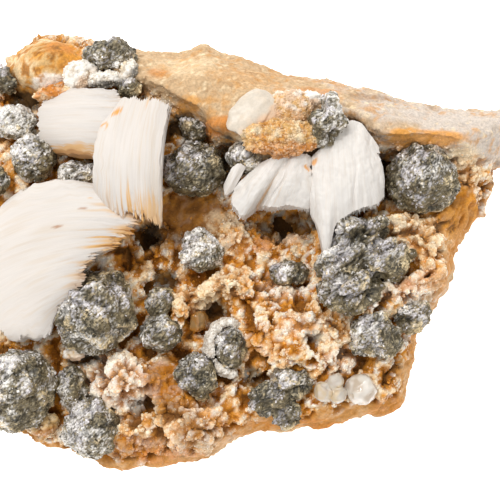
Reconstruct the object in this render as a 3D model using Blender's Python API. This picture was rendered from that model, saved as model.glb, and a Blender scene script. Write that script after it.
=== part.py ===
"""Cerussite specimen: white sprays and dark galena lumps on a sandy, iron-stained rock.

The rock lies on its flat cut back with the crystals up. +X runs to the specimen's right, +Y to its
far edge and +Z up. The origin is on the flat back, in the middle of the specimen's box. Lengths are
in millimetres, and become metres where a mesh is made.
"""

import math

import bmesh
import bpy
from mathutils import Vector, noise
from mathutils.geometry import delaunay_2d_cdt

MM = 0.001
GAP = 0.3
SHARPEST = 1.5

# Rock: its widest outline seen from above, clockwise from the left edge.
OUTLINE = [
    (-41, 2.5), (-41, 12), (-39.5, 21), (-38, 26.5), (-36, 30), (-33, 32), (-29.5, 32.5), (-26, 32),
    (-22.5, 31), (-19, 30.5), (-15, 30), (-12, 29.5), (-10, 30), (-8, 31), (-5, 30), (-2, 29),
    (2.5, 27.5), (8, 26), (13, 25.5), (17.5, 24.5), (22.5, 23), (27, 22), (31.5, 21.5), (36.5, 21.5),
    (41, 21), (40, 18.5), (37.5, 14), (35.5, 11), (34.5, 8), (32.5, 4.5), (30.5, 2), (29, -1),
    (29, -4), (28, -6), (26.5, -8), (24.5, -10), (23.5, -13), (23, -16.5), (22, -19.5), (21.5, -22.5),
    (19.5, -23.5), (16.5, -24), (12.5, -25), (8.5, -26), (3.5, -26), (-1, -26.5), (-3.5, -27.5),
    (-5, -29), (-8, -30.5), (-12, -31), (-16, -31.5), (-19.5, -32), (-22, -31.5), (-24, -30),
    (-28, -29), (-30.5, -28.5), (-33, -27), (-37, -25), (-39, -22.5), (-40.5, -17.5), (-40, -10.5),
    (-41, -4.5),
]
EDGE_HEIGHT = 10.3
EDGE_FALL = 0.043
SHOULDER = 3.5
# Spacing of the points on top, and how much of it they keep from each other and from the outline.
GRID = 2.0
POINT_CLEAR = 0.6
OUTLINE_CLEAR = 0.55

# Ledge along the far side: the line of its inner edge, above the crystal hollow.
LEDGE_RIM = [
    (-25, 35), (-20.5, 24), (-17, 22.5), (-13, 20.5), (-8.5, 18), (-6, 15.5), (-2.5, 14.5), (0.5, 12.5),
    (6.5, 11.5), (9, 14), (11, 16.5), (13, 18), (15.5, 16), (18, 14), (25.5, 14), (30, 12.5), (45, 12),
]
LEDGE_TOP = 22.0
LEDGE_WIDTH = 9.0
LEDGE_WALL = 2.4
# Mounds farther along +Y than this stand on the ledge too.
LEDGE_MOUNDS_FROM = 11.5

# Height of the hollow's floor at places spread over it: x, y, z.
LEVELS = [
    (-36, 26, 15), (-34, 10, 15), (-30, -2, 15.5), (-34, -20, 14), (-22, -26, 13), (-22, 18, 17),
    (-16, 8, 16), (-21, 27, 17), (-9, 8, 14.5), (-9, -1, 14.5), (-12, -12, 14), (-2, 10, 13),
    (4, 4, 11), (5, -3, 12.5), (0, -10, 15.5), (6, -13, 16.5), (-5, -20, 14.5), (5, -21, 14.5),
    (14, -20, 14.5), (11, 3, 14), (18, 10, 13.5), (22, 0, 16), (20, -9, 15.5), (25, -12, 13.5),
    (29, 6, 14.5), (14.5, -3, 17.5), (-14, -20, 15), (-16, 17, 17),
]
LEVEL_BLEND = 2.0
LEVEL_FADE = 2

# Crust mounds that stand on the rock: x, y, half-lengths along X and Y, height.
MOUNDS = [
    (-30.5, 26, 5.2, 4.4, 4.5), (-24.5, 24.5, 3, 2.5, 2.5), (-19, -19.5, 4.8, 4.2, 5.5),
    (-13.1, -20.2, 2.5, 2.7, 2), (-8, -27, 5.6, 4.2, 5), (-18.5, -29.5, 3, 2.2, 1.5),
    (0.7, -12.3, 2.4, 2.6, 1.8), (6.1, -10.1, 2.8, 2.3, 1.6), (4.7, -15.9, 3, 2.4, 1.8),
    (9.8, -16.6, 2.6, 2.4, 1.6), (11.1, -11.9, 2.2, 2.4, 1.5), (20.3, 2.8, 2.6, 2.2, 2.4),
    (24.2, 0, 3, 2.8, 2.6), (19.6, -0.8, 2.2, 2.2, 1.5), (4.7, 1.2, 2.6, 1.6, 1.6),
    (-3.6, 1.8, 3.2, 2.4, 2.4), (0.7, -0.8, 2.2, 2, 1.4), (-0.5, 18, 3, 2.6, 1.2),
    (4.2, 14.2, 4, 3, 2.6), (27, 4.5, 2.4, 2.6, 1.6), (-1.2, 11.4, 2.4, 2.4, 6),
]
# Pits that go down into it: x, y, half-lengths, depth.
PITS = [
    (-34.5, 22, 2.6, 2.6, 3), (-16, 2, 2.6, 2.6, 4), (-6.5, -9, 3, 2.4, 3.5), (-16.5, -22.5, 2.6, 2.2, 3),
    (-4, 12.5, 2.4, 2.8, 3), (18.5, 10.5, 2.4, 4, 3), (-24, -15.5, 3, 1.6, 2.5), (0.5, -18.5, 2, 1.8, 2.5),
    (8.5, -13.2, 1.8, 1.4, 2), (-9, 17, 2.4, 1.6, 4), (-14, -4.5, 2.2, 2, 2.5), (3.4, 3.6, 4.6, 2, 2),
]
DOME_ROUNDNESS = 0.8
# Narrow crests: both ends, half-width and height.
CRESTS = [
    ((-12, -9.5), (-3.5, -5.5), 2.4, 3.5), ((16, -8.6), (27, -3.8), 2.4, 3.8),
    ((-20, -27), (-9.5, -22), 2.4, 3), ((-9, 24), (6, 21), 4, 1.2),
]
# Broken side, from the outline down to the flat back: inset and share of the edge's height.
SIDE_ROWS = [(0.7, 0.78), (1.5, 0.5), (2.6, 0.24), (3.4, 0.0)]
# Roughness of the top and the side, how close its swells are, and how far the rows of the side differ.
ROCK_ROUGHNESS = 0.5
ROCK_SWELL = 0.35
SIDE_ROUGHNESS = 1.1
SIDE_FACET = 0.17
SIDE_CHANGE = 40

# Galena lumps. Each entry is one lump: x, y, half-lengths along X and Y. Lumps of one name are grown
# into each other. Half of a lump's radius is its centre's height above the rock.
LUMP_RISE = 0.5
LUMP_FLATNESS = 0.95
LUMPS = {
    "galena_left_rim": [(-37, 24.5, 2.8, 2.6)],
    "galena_far_left": [(-34.9, 17.9, 2.9, 2.5)],
    "galena_left": [(-32, 12.8, 3.2, 3.5)],
    "galena_left_edge": [(-37.6, 9, 2.5, 2.7)],
    "galena_between_sheaves": [(-25.5, 10, 3, 2.2)],
    "galena_far_edge": [(-21, 27, 3.8, 2.5)],
    "galena_by_ledge": [(-18, 22.6, 2.3, 2.1)],
    "galena_middle": [(-9.1, 11, 4.6, 4.3)],
    "galena_under_ledge": [(-8.5, 17.6, 3.4, 2.2)],
    "galena_by_blade": [(-1.5, 12.5, 2.3, 2.4)],
    "galena_ledge": [(9.9, 16.4, 1.9, 3.2)],
    "galena_right": [(24, 9.6, 5.4, 5.4)],
    "galena_centre_right": [
        (14.8, 1, 4.4, 3.3), (17.6, -2.3, 4.4, 3), (12.6, -2.8, 4, 3.4), (13.4, -6.6, 4.2, 3.4),
    ],
    "galena_lower_right": [(16.6, -13, 3.8, 3.3)],
    "galena_under_crest": [(21.9, -10.3, 3.2, 2.3)],
    "galena_small_middle": [(-8, -1, 3.2, 3.2)],
    "galena_big_left": [(-23, -9.5, 5.9, 6.1)],
    "galena_beside_big": [(-13.5, -8.2, 2.4, 2.5), (-13.5, -12.4, 3.2, 3.1)],
    "galena_near_left": [(-34.2, -20.4, 6, 6.1)],
    "galena_near_edge": [(-26.5, -20, 2.3, 3.1), (-23.5, -26.1, 4.2, 4.3)],
    "galena_near_middle": [(-8.6, -18.6, 3.1, 3.7)],
    "galena_in_rind": [(-3.8, -14.6, 2.4, 3)],
    "galena_near_right": [(4.9, -19.6, 2.9, 2.2), (1.4, -21.7, 2.9, 2.5), (4.2, -24, 2.6, 2.2)],
    "galena_hollow": [(4.5, -3.6, 3, 1.8)],
}
FACET_SIZE = 2.2
FACET_DEPTH = 0.06
BULGE_SIZE = 1.3
BULGE_DEPTH = 0.22
SMALL_LUMP = 2.85

# Cerussite. Each fibre line runs from a blade's root to its free tip: points x, y, z. Ribs and rows are
# how many there are across and along, and ridge is a rib's height.
LEFT_SHEAF = {
    "fibres": [
        [(-35.4, 8, 18), (-19.5, 7.4, 23.6)], [(-37.6, 5.8, 17.4), (-16, 4.4, 24)],
        [(-38.6, 0, 16.8), (-16.2, 1.5, 23.8)], [(-39, -4, 16.2), (-17.5, -0.5, 23.2)],
        [(-38.5, -7.5, 16), (-21, -2.5, 23)], [(-36.5, -11, 16), (-23, -5, 22.5)],
        [(-34.5, -12.5, 16), (-27, -8, 21.5)], [(-32, -13, 16), (-28.5, -10.5, 19.5)],
    ],
    "ribs": 7, "rows": 4, "thickness": 7.5, "bow": 3.2, "ridge": 0.25, "ragged": 0.05,
}
CENTRE_SHEAF = {
    "fibres": [
        [(-21, 17.8, 22.4), (-22.6, 12, 24.2), (-22.2, 6.6, 21.8)],
        [(-19, 19.8, 22.8), (-20.8, 11.5, 25.3), (-21, 4.6, 22.6)],
        [(-17, 20.6, 22.9), (-18.7, 11, 26), (-18.6, 3.2, 23.8)],
        [(-15, 20.6, 22.9), (-16.5, 11, 26.2), (-16, 3, 24)],
        [(-13.7, 20.3, 22.7), (-14.6, 12, 25.8), (-14.2, 3.6, 23.2)],
        [(-12, 19.2, 22.4), (-13.4, 12, 24.8), (-12.8, 4.2, 22.2)],
    ],
    "ribs": 6, "rows": 4, "thickness": 9, "bow": 0, "ridge": 0.25, "ragged": 0.04,
}
UPPER_SHEAF = {
    "fibres": [
        [(-27.4, 22.2, 19.4), (-19.6, 21.3, 22)], [(-31, 20.6, 18.4), (-18.6, 19.6, 23)],
        [(-32, 18, 17.8), (-18.6, 17, 24)], [(-31.4, 15.2, 17.6), (-19.5, 13.8, 23.4)],
        [(-29, 12.9, 17.4), (-21.5, 11.6, 22)],
    ],
    "ribs": 5, "rows": 3, "thickness": 5.5, "bow": 1.4, "ridge": 0.25, "ragged": 0.04,
}
FAN_MIDDLE = {
    "fibres": [
        [(0.8, 11.4, 20.5), (-3.6, 7.4, 19.4)], [(2, 11.8, 21.5), (-4, 5, 19.4)],
        [(3.2, 12.2, 22), (-2.6, 3.1, 19.2)], [(4.2, 12.4, 22), (-1, 4.1, 18.4)],
        [(4.9, 12.4, 22), (-0.2, 5, 17.4)], [(5.5, 12.4, 22.2), (1.2, 4.6, 18.6)],
        [(6.1, 12.4, 22.4), (3.2, 4.6, 19)], [(6.8, 12.3, 22), (5.4, 4.7, 19)],
        [(7.2, 12, 21), (7, 4.1, 18.4)],
    ],
    "ribs": 7, "rows": 3, "thickness": 8, "bow": 0.9, "ridge": 0.25, "ragged": 0.05,
}
FAN_RIGHT = {
    "fibres": [
        [(8.1, 12, 20.8), (7.9, 4.1, 19)], [(8.8, 12.8, 21.4), (8.6, 1.6, 19.4)],
        [(9.6, 13.8, 22), (9.6, -2.6, 19.4)], [(10.6, 14.8, 22.4), (10.8, 2, 20.2)],
        [(11.8, 16, 22.6), (12.4, 3, 20.4)], [(13, 16.8, 22.6), (14, 3.8, 20.5)],
        [(14.4, 16.6, 22.3), (15.6, 4.4, 20.4)], [(15.8, 15.2, 21.6), (17, 5, 20)],
        [(17.2, 13.4, 20.8), (18.1, 6.6, 19.4)],
    ],
    "ribs": 8, "rows": 5, "thickness": 8, "bow": 1.0, "ridge": 0.2, "ragged": 0.02,
}
BLADE = {
    "fibres": [
        [(-3.6, 10.4, 20.8), (-4.8, 8, 19.4)], [(-2.5, 11, 21.2), (-4.6, 6.4, 19.2)],
        [(-1.5, 10.6, 20.6), (-3.4, 7.2, 19.2)],
    ],
    "ribs": 2, "rows": 2, "thickness": 4, "bow": 0.4, "ridge": 0.1, "ragged": 0.0,
}
# A spray's cross-section: how far into a half circle its edges lie, where along it the depth below
# begins and how far that runs, and the least depth.
ARCH_EDGE = 0.1
DEPTH_START = 0.14
DEPTH_RUN = 0.74
LEAST_DEPTH = 0.6
RIB_RISE = 3
RIB_CHANGE = 0.7

# Pale rind round one lump: how far its line lies outside the lump, its half-thickness, half-height and
# height above the rock, the angles where it begins and ends, and how thin it is there.
RIND_OVERHANG = (0.5, 0.6)
RIND_THICKNESS = 0.9
RIND_HEIGHT = 2.2
RIND_LIFT = 0.8
RIND_ARC = (60, 285)
RIND_THIN = 0.4
RIND_SIDES = 5
RIND_STATIONS = 9

# Clear crystals. Each entry is one crystal: x, y, radius, length, lean from upright, direction of the
# lean in plan and turn about its own axis, in degrees. Crystals of one name are grown into each other.
CLEAR_CRYSTALS = {
    "clear_crystal": [
        (10, -20.6, 1.3, 4.6, 16, 200, 12), (11.2, -20.7, 1.2, 4.2, 14, 300, 40),
        (10.7, -19.7, 1.1, 4.4, 10, 60, 25),
    ],
    "pale_crystal": [(14.5, -20.1, 1.9, 4.2, 12, 330, 5)],
    "amber_crystal": [(-9.4, -11.2, 1.3, 3.6, 25, 40, 30)],
}
# Share of the length that is rooted in the rock, and the form's rings as shares of length and radius.
CRYSTAL_ROOT = 0.4
POINTED = [(0.0, 0.85), (0.7, 1.0), (0.92, 0.5)]
ROUNDED = [(0.0, 0.75), (0.55, 1.0), (0.86, 0.7)]
CRYSTAL_SIDES = 6


def finish(name, colour, roughness, metallic=0.0, transmission=0.0, ior=1.5):
    """A plain surface in one colour, given as red, green and blue from 0 to 1."""
    material = bpy.data.materials.new(name)
    material.use_nodes = True
    shader = material.node_tree.nodes["Principled BSDF"]
    shader.inputs["Base Color"].default_value = (*colour, 1.0)
    shader.inputs["Roughness"].default_value = roughness
    shader.inputs["Metallic"].default_value = metallic
    shader.inputs["Transmission Weight"].default_value = transmission
    shader.inputs["IOR"].default_value = ior
    material.diffuse_color = (*colour, 1.0)
    return material


def solid(name, points, faces, material):
    """One closed body from points in millimetres, with its faces turned out."""
    mesh = bpy.data.meshes.new(name)
    mesh.from_pydata([Vector(point) * MM for point in points], [], faces)
    mesh.materials.append(material)
    shape = bmesh.new()
    shape.from_mesh(mesh)
    bmesh.ops.recalc_face_normals(shape, faces=shape.faces)
    shape.to_mesh(mesh)
    shape.free()
    piece = bpy.data.objects.new(name, mesh)
    bpy.context.scene.collection.objects.link(piece)
    return piece


def grown(piece, distance):
    """A copy of a piece that stands out by a distance all round: what its neighbours keep clear of."""
    shape = bmesh.new()
    shape.from_mesh(piece.data)
    shape.normal_update()
    moves = [(vert, vert.normal * min(vert.calc_shell_factor(), SHARPEST) * distance * MM)
             for vert in shape.verts]
    for vert, move in moves:
        vert.co += move
    mesh = bpy.data.meshes.new(piece.name + "_clearance")
    shape.to_mesh(mesh)
    shape.free()
    cutter = bpy.data.objects.new(mesh.name, mesh)
    bpy.context.scene.collection.objects.link(cutter)
    cutter.hide_render = True
    cutter.display_type = "WIRE"
    return cutter


def combine(piece, others, operation):
    """Joins the others to the piece or cuts them out of it, and removes them."""
    for other in others:
        modifier = piece.modifiers.new(other.name, "BOOLEAN")
        modifier.operation = operation
        modifier.object = other
        modifier.use_self = True
    bpy.context.view_layer.update()
    result = bpy.data.meshes.new_from_object(piece.evaluated_get(bpy.context.evaluated_depsgraph_get()))
    piece.modifiers.clear()
    piece.data = result
    for other in others:
        bpy.data.objects.remove(other)
    keep_largest(piece)


def keep_largest(piece):
    """Drops the chips that a cut leaves beside the main body."""
    shape = bmesh.new()
    shape.from_mesh(piece.data)
    left = set(shape.verts)
    bodies = []
    while left:
        body = [left.pop()]
        for vert in body:
            for edge in vert.link_edges:
                neighbour = edge.other_vert(vert)
                if neighbour in left:
                    left.remove(neighbour)
                    body.append(neighbour)
        bodies.append(body)
    bodies.sort(key=len)
    chips = [vert for body in bodies[:-1] for vert in body]
    bmesh.ops.delete(shape, geom=chips, context="VERTS")
    shape.to_mesh(piece.data)
    shape.free()


def overlaps(piece, other, margin=GAP * MM):
    """Whether the boxes of two pieces meet."""
    for axis in range(3):
        low_a, high_a = span(piece, axis)
        low_b, high_b = span(other, axis)
        if low_a > high_b + margin or low_b > high_a + margin:
            return False
    return True


def span(piece, axis):
    """Lowest and highest coordinate of a piece along one axis."""
    values = [vert.co[axis] for vert in piece.data.vertices]
    return min(values), max(values)


def ease(share):
    """Rises steeply from 0 and flattens out to 1."""
    return math.sin(math.pi / 2 * max(0.0, min(1.0, share)))


def step(share):
    """Turns smoothly from 0 to 1."""
    share = max(0.0, min(1.0, share))
    return share * share * (3 - 2 * share)


def distance_to_line(point, start, end):
    """Distance in plan from a point to a straight stretch."""
    along = end - start
    share = max(0.0, min(1.0, (point - start).dot(along) / along.length_squared))
    return (point - start - along * share).length


def inside_outline(point):
    """How far a point lies inside the rock's outline; it is negative outside."""
    corners = [Vector(corner) for corner in OUTLINE]
    sides = list(zip(corners, corners[1:] + corners[:1]))
    distance = min(distance_to_line(point, start, end) for start, end in sides)
    crossings = 0
    for start, end in sides:
        if (start.y > point.y) != (end.y > point.y):
            crossings += point.x < start.x + (end.x - start.x) * (point.y - start.y) / (end.y - start.y)
    return distance if crossings % 2 else -distance


def rim_line(x):
    """Where the ledge's inner edge runs at this x."""
    for (x0, y0), (x1, y1) in zip(LEDGE_RIM, LEDGE_RIM[1:]):
        if x <= x1:
            return y0 + (y1 - y0) * (x - x0) / (x1 - x0)
    return LEDGE_RIM[-1][1]


def dome(x, y, form):
    """Height of a rounded mound or pit at a place; 0 outside it."""
    centre_x, centre_y, half_x, half_y, height = form
    square = ((x - centre_x) / half_x) ** 2 + ((y - centre_y) / half_y) ** 2
    return height * (1 - square) ** DOME_ROUNDNESS if square < 1 else 0.0


def floor_height(x, y):
    """The hollow's floor, with its mounds, pits and crests."""
    weights = [((x - px) ** 2 + (y - py) ** 2 + LEVEL_BLEND) ** -LEVEL_FADE for px, py, _ in LEVELS]
    height = sum(weight * level[2] for weight, level in zip(weights, LEVELS)) / sum(weights)
    height += sum(dome(x, y, mound) for mound in MOUNDS)
    height -= sum(dome(x, y, pit) for pit in PITS)
    for start, end, width, rise in CRESTS:
        near = distance_to_line(Vector((x, y)), Vector(start), Vector(end)) / width
        height += rise * (1 - near * near) if near < 1 else 0.0
    return height


def rock_height(x, y):
    """Top of the rock at a place inside its outline."""
    inset = inside_outline(Vector((x, y)))
    edge = EDGE_HEIGHT - EDGE_FALL * x
    floor = edge + (floor_height(x, y) - edge) * ease(inset / SHOULDER)
    ledge = edge + (LEDGE_TOP - edge) * ease(inset / LEDGE_WIDTH)
    ledge += sum(dome(x, y, mound) for mound in MOUNDS if mound[1] > LEDGE_MOUNDS_FROM)
    share = step((y - rim_line(x)) / LEDGE_WALL + 0.5)
    roughness = ROCK_ROUGHNESS * noise.noise(Vector((x, y, 0)) * ROCK_SWELL) * ease(inset)
    return floor + (ledge - floor) * share + roughness


def rock():
    """The matrix: a triangulated top, a broken side that leans in and a flat cut back."""
    flat = [Vector(corner) for corner in OUTLINE]
    rim_count = len(flat)
    row_height = GRID * math.sqrt(3) / 2
    for column in range(round(LEDGE_RIM[1][0] / GRID), round(LEDGE_RIM[-2][0] / GRID) + 2):
        for side in (-0.5, 0.5):
            x = column * GRID
            point = Vector((x, rim_line(x) + side * LEDGE_WALL))
            if inside_outline(point) > GRID:
                flat.append(point)
    reach = round(max(abs(x) for x, _ in OUTLINE) / GRID)
    for row in range(-reach, reach + 1):
        for column in range(-reach, reach + 1):
            point = Vector(((column + 0.5 * (row % 2)) * GRID, row * row_height))
            clear = min((point - other).length for other in flat) > POINT_CLEAR * GRID
            if clear and inside_outline(point) > OUTLINE_CLEAR * GRID:
                flat.append(point)
    rim_edges = [(index, (index + 1) % rim_count) for index in range(rim_count)]
    flat, _, faces, _, _, _ = delaunay_2d_cdt(flat, rim_edges, [], 1, 1e-5)
    points = [(point.x, point.y, rock_height(point.x, point.y)) for point in flat]
    above = list(range(rim_count))
    for inset, share in SIDE_ROWS:
        row_start = len(points)
        for index in range(rim_count):
            x, y, z = points[index]
            rough = SIDE_ROUGHNESS * noise.cell(Vector((x, y, SIDE_CHANGE * share)) * SIDE_FACET)
            scale = 1 - (inset + max(rough, -inset)) / math.hypot(x, y)
            points.append((x * scale, y * scale, z * share))
        below = list(range(row_start, row_start + rim_count))
        for index in range(rim_count):
            after = (index + 1) % rim_count
            faces.append((above[index], above[after], below[after], below[index]))
        above = below
    faces.append(above)
    return solid("matrix", points, faces, ROCK)


def lump(name, x, y, half_x, half_y, seed):
    """One rounded galena lump with angular facets."""
    half_z = LUMP_FLATNESS * (half_x + half_y) / 2
    centre = Vector((x, y, rock_height(x, y) + LUMP_RISE * half_z))
    shape = bmesh.new()
    bmesh.ops.create_icosphere(shape, subdivisions=1 if max(half_x, half_y) < SMALL_LUMP else 2, radius=1)
    points = []
    for vert in shape.verts:
        direction = vert.co.normalized()
        bulge = 1 + FACET_DEPTH * noise.cell(direction * FACET_SIZE + Vector((seed, 0.3, 0.7)))
        bulge += BULGE_DEPTH * noise.noise(direction * BULGE_SIZE + Vector((0, seed, 0)))
        offset = Vector((direction.x * half_x, direction.y * half_y, direction.z * half_z)) * bulge
        points.append(centre + offset)
    faces = [[vert.index for vert in face.verts] for face in shape.faces]
    shape.free()
    return solid(name, points, faces, GALENA)


def along_fibre(fibre, share):
    """A point of a fibre line, on the straight line or the curve through its points."""
    points = [Vector(point) for point in fibre]
    if len(points) == 2:
        return points[0].lerp(points[1], share)
    root, middle, tip = points
    return (root * (1 - share) * (1 - 2 * share) + middle * 4 * share * (1 - share)
            + tip * share * (2 * share - 1))


def sheaf(name, fibres, ribs, rows, thickness, bow, ridge, ragged):
    """A spray of blades grown side by side: ribbed on top, lens-shaped below, with ragged tips."""
    lines = 2 * ribs
    top = []
    bottom = []
    for line in range(lines + 1):
        across = line / lines
        place = across * (len(fibres) - 1)
        left = min(int(place), len(fibres) - 2)
        crest = 1 if line % 2 else -1
        unevenness = abs(noise.noise(Vector((line * RIB_CHANGE, bow, 0.5))))
        length = 1 - ragged * (0.5 - 0.5 * crest) - ragged * unevenness
        for row in range(rows + 1):
            share = row / rows
            point = along_fibre(fibres[left], share * length).lerp(
                along_fibre(fibres[left + 1], share * length), place - left)
            arch = math.sin(math.pi * (ARCH_EDGE + (1 - 2 * ARCH_EDGE) * across))
            point.z += bow * math.sin(math.pi * share) * arch + ridge * crest * step(share * RIB_RISE)
            depth = thickness * arch ** 0.5 * math.sin(math.pi * (DEPTH_START + DEPTH_RUN * share))
            top.append(point)
            bottom.append(point - Vector((0, 0, max(depth, LEAST_DEPTH))))
    width = rows + 1
    under = len(top)
    faces = []
    for line in range(lines):
        for row in range(rows):
            corner = line * width + row
            quad = (corner, corner + 1, corner + 1 + width, corner + width)
            faces.append(quad)
            faces.append(tuple(under + index for index in reversed(quad)))
    border = [row for row in range(width)]
    border += [line * width + rows for line in range(1, lines + 1)]
    border += [lines * width + row for row in range(rows - 1, -1, -1)]
    border += [line * width for line in range(lines - 1, 0, -1)]
    for start, end in zip(border, border[1:] + border[:1]):
        faces.append((start, under + start, under + end, end))
    return solid(name, top + bottom, faces, CERUSSITE)


def rind(name, around):
    """A pale shell that wraps one lump on three sides."""
    x, y, half_x, half_y = LUMPS[around][0]
    base = rock_height(x, y)
    points = []
    for station in range(RIND_STATIONS + 1):
        angle = math.radians(RIND_ARC[0] + (RIND_ARC[1] - RIND_ARC[0]) * station / RIND_STATIONS)
        taper = RIND_THIN + (1 - RIND_THIN) * math.sin(math.pi * station / RIND_STATIONS)
        for side in range(RIND_SIDES):
            turn = 2 * math.pi * side / RIND_SIDES
            reach = RIND_THICKNESS * taper * math.cos(turn)
            points.append((
                x + (half_x + RIND_OVERHANG[0] + reach) * math.cos(angle),
                y + (half_y + RIND_OVERHANG[1] + reach) * math.sin(angle),
                base + RIND_LIFT + RIND_HEIGHT * taper * math.sin(turn)))
    faces = []
    for station in range(RIND_STATIONS):
        for side in range(RIND_SIDES):
            after = (side + 1) % RIND_SIDES
            start = station * RIND_SIDES
            faces.append((start + side, start + after, start + RIND_SIDES + after, start + RIND_SIDES + side))
    faces.append(list(range(RIND_SIDES)))
    faces.append(list(range(RIND_STATIONS * RIND_SIDES, (RIND_STATIONS + 1) * RIND_SIDES)))
    return solid(name, points, faces, PALE_RIND)


def crystal(name, profile, x, y, radius, length, lean, towards, turn):
    """A six-sided crystal that leans out of the rock, with the rings of a profile and a tip."""
    base = Vector((x, y, rock_height(x, y) - length * CRYSTAL_ROOT))
    lean, towards, turn = math.radians(lean), math.radians(towards), math.radians(turn)
    axis = Vector((math.sin(lean) * math.cos(towards), math.sin(lean) * math.sin(towards), math.cos(lean)))
    side_a = axis.orthogonal().normalized()
    side_b = axis.cross(side_a)
    points = []
    for height, width in profile:
        for corner in range(CRYSTAL_SIDES):
            angle = 2 * math.pi * corner / CRYSTAL_SIDES + turn
            out = side_a * math.cos(angle) + side_b * math.sin(angle)
            points.append(base + axis * length * height + out * radius * width)
    tip = len(points)
    points.append(base + axis * length)
    faces = [list(range(CRYSTAL_SIDES))]
    for ring in range(0, tip - CRYSTAL_SIDES, CRYSTAL_SIDES):
        for corner in range(CRYSTAL_SIDES):
            after = (corner + 1) % CRYSTAL_SIDES
            above = ring + CRYSTAL_SIDES
            faces.append((ring + corner, ring + after, above + after, above + corner))
    for corner in range(CRYSTAL_SIDES):
        last = tip - CRYSTAL_SIDES
        faces.append((last + corner, last + (corner + 1) % CRYSTAL_SIDES, tip))
    return solid(name, points, faces, CLEAR)


for leftover in list(bpy.data.objects):
    bpy.data.objects.remove(leftover)

ROCK = finish("sandy_matrix", (0.55, 0.33, 0.17), 0.85)
CERUSSITE = finish("white_cerussite", (0.86, 0.82, 0.76), 0.4)
GALENA = finish("dark_galena", (0.16, 0.145, 0.125), 0.3, metallic=0.8)
PALE_RIND = finish("pale_rind", (0.70, 0.62, 0.52), 0.5)
CLEAR = finish("clear_crystal", (0.80, 0.74, 0.64), 0.1, transmission=0.8, ior=1.64)

matrix = rock()
placed = [matrix]


def settle(piece):
    """Cuts a new piece clear of the pieces that are already there."""
    neighbours = [grown(other, GAP) for other in placed if overlaps(piece, other)]
    combine(piece, neighbours, "DIFFERENCE")
    placed.append(piece)


for lump_name, parts in LUMPS.items():
    main = lump(lump_name, *parts[0], seed=len(placed))
    extra = [lump(f"{lump_name}_{index}", *part, seed=len(placed) + index / 8)
             for index, part in enumerate(parts[1:], start=1)]
    if extra:
        combine(main, extra, "UNION")
    settle(main)

left_cluster = sheaf("cerussite_sheaves", **LEFT_SHEAF)
centre = sheaf("centre", **CENTRE_SHEAF)
upper = sheaf("upper", **UPPER_SHEAF)
combine(left_cluster, [centre, upper], "UNION")
settle(left_cluster)

settle(sheaf("cerussite_fan_middle", **FAN_MIDDLE))
settle(sheaf("cerussite_fan_right", **FAN_RIGHT))
settle(sheaf("cerussite_blade", **BLADE))

settle(rind("pale_rind", "galena_in_rind"))
for crystal_name, parts in CLEAR_CRYSTALS.items():
    profile = ROUNDED if crystal_name == "pale_crystal" else POINTED
    main = crystal(crystal_name, profile, *parts[0])
    extra = [crystal(f"{crystal_name}_{index}", profile, *part)
             for index, part in enumerate(parts[1:], start=1)]
    if extra:
        combine(main, extra, "UNION")
    settle(main)
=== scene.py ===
"""Looks of the cerussite specimen: white silky sprays and sparkling galena on a sandy rock.

Places and sizes are in millimetres, in the frame of the CAD model, and become metres where a mesh
is made.
"""

import math

import bmesh
import bpy
import numpy as np
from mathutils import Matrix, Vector, noise
from mathutils.bvhtree import BVHTree


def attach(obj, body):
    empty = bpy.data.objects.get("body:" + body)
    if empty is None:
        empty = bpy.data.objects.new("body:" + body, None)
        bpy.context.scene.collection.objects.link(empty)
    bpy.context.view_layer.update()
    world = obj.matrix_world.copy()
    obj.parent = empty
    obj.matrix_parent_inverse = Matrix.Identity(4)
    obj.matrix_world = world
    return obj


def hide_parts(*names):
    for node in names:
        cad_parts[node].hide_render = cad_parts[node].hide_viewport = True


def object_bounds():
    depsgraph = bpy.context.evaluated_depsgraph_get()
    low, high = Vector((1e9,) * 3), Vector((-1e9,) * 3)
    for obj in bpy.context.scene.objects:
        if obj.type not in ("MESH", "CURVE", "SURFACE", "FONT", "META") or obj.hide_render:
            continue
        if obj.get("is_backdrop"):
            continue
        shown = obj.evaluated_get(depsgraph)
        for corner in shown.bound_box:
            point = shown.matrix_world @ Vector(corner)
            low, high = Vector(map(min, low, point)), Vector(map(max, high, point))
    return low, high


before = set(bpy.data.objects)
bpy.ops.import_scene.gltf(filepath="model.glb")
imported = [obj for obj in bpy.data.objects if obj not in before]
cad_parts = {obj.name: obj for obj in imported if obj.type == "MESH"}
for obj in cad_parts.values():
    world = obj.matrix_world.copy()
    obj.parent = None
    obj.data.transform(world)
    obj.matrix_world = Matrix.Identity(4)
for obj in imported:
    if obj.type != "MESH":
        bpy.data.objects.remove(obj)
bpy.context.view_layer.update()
MM = 0.001

# Rock
# The slab that carries everything: dolomite, sandy and tan on the weathered ledge along the far side,
# stained by iron in the hollow and broken along the sides. Its back is a flat saw cut.

# Line of the ledge's inner edge, above the hollow, as x and y, and how wide the slope below it is.
RIM_X = [-25, -20.5, -17, -13, -8.5, -6, -2.5, 0.5, 6.5, 9, 11, 13, 15.5, 18, 25.5, 30, 45]
RIM_Y = [35, 24, 22.5, 20.5, 18, 15.5, 14.5, 12.5, 11.5, 14, 16.5, 18, 16, 14, 14, 12.5, 12]
RIM_WALL = 2.4
# How far in from the outline the broken sides and the worn rim reach.
SIDE_REACH = 4.5
RIM_REACH = 2.2
# Width of the rock's faces and of those on its flat back, and a length too small to count.
ROCK_VOXEL = 0.38
BACK_SQUARE = 2.0
HAIR = 0.01


def linear(code):
    """A colour given as sRGB hex, turned to linear red, green and blue."""
    parts = np.array([int(code[place:place + 2], 16) / 255 for place in (1, 3, 5)])
    return np.where(parts <= 0.04045, parts / 12.92, ((parts + 0.055) / 1.055) ** 2.4)


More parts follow.
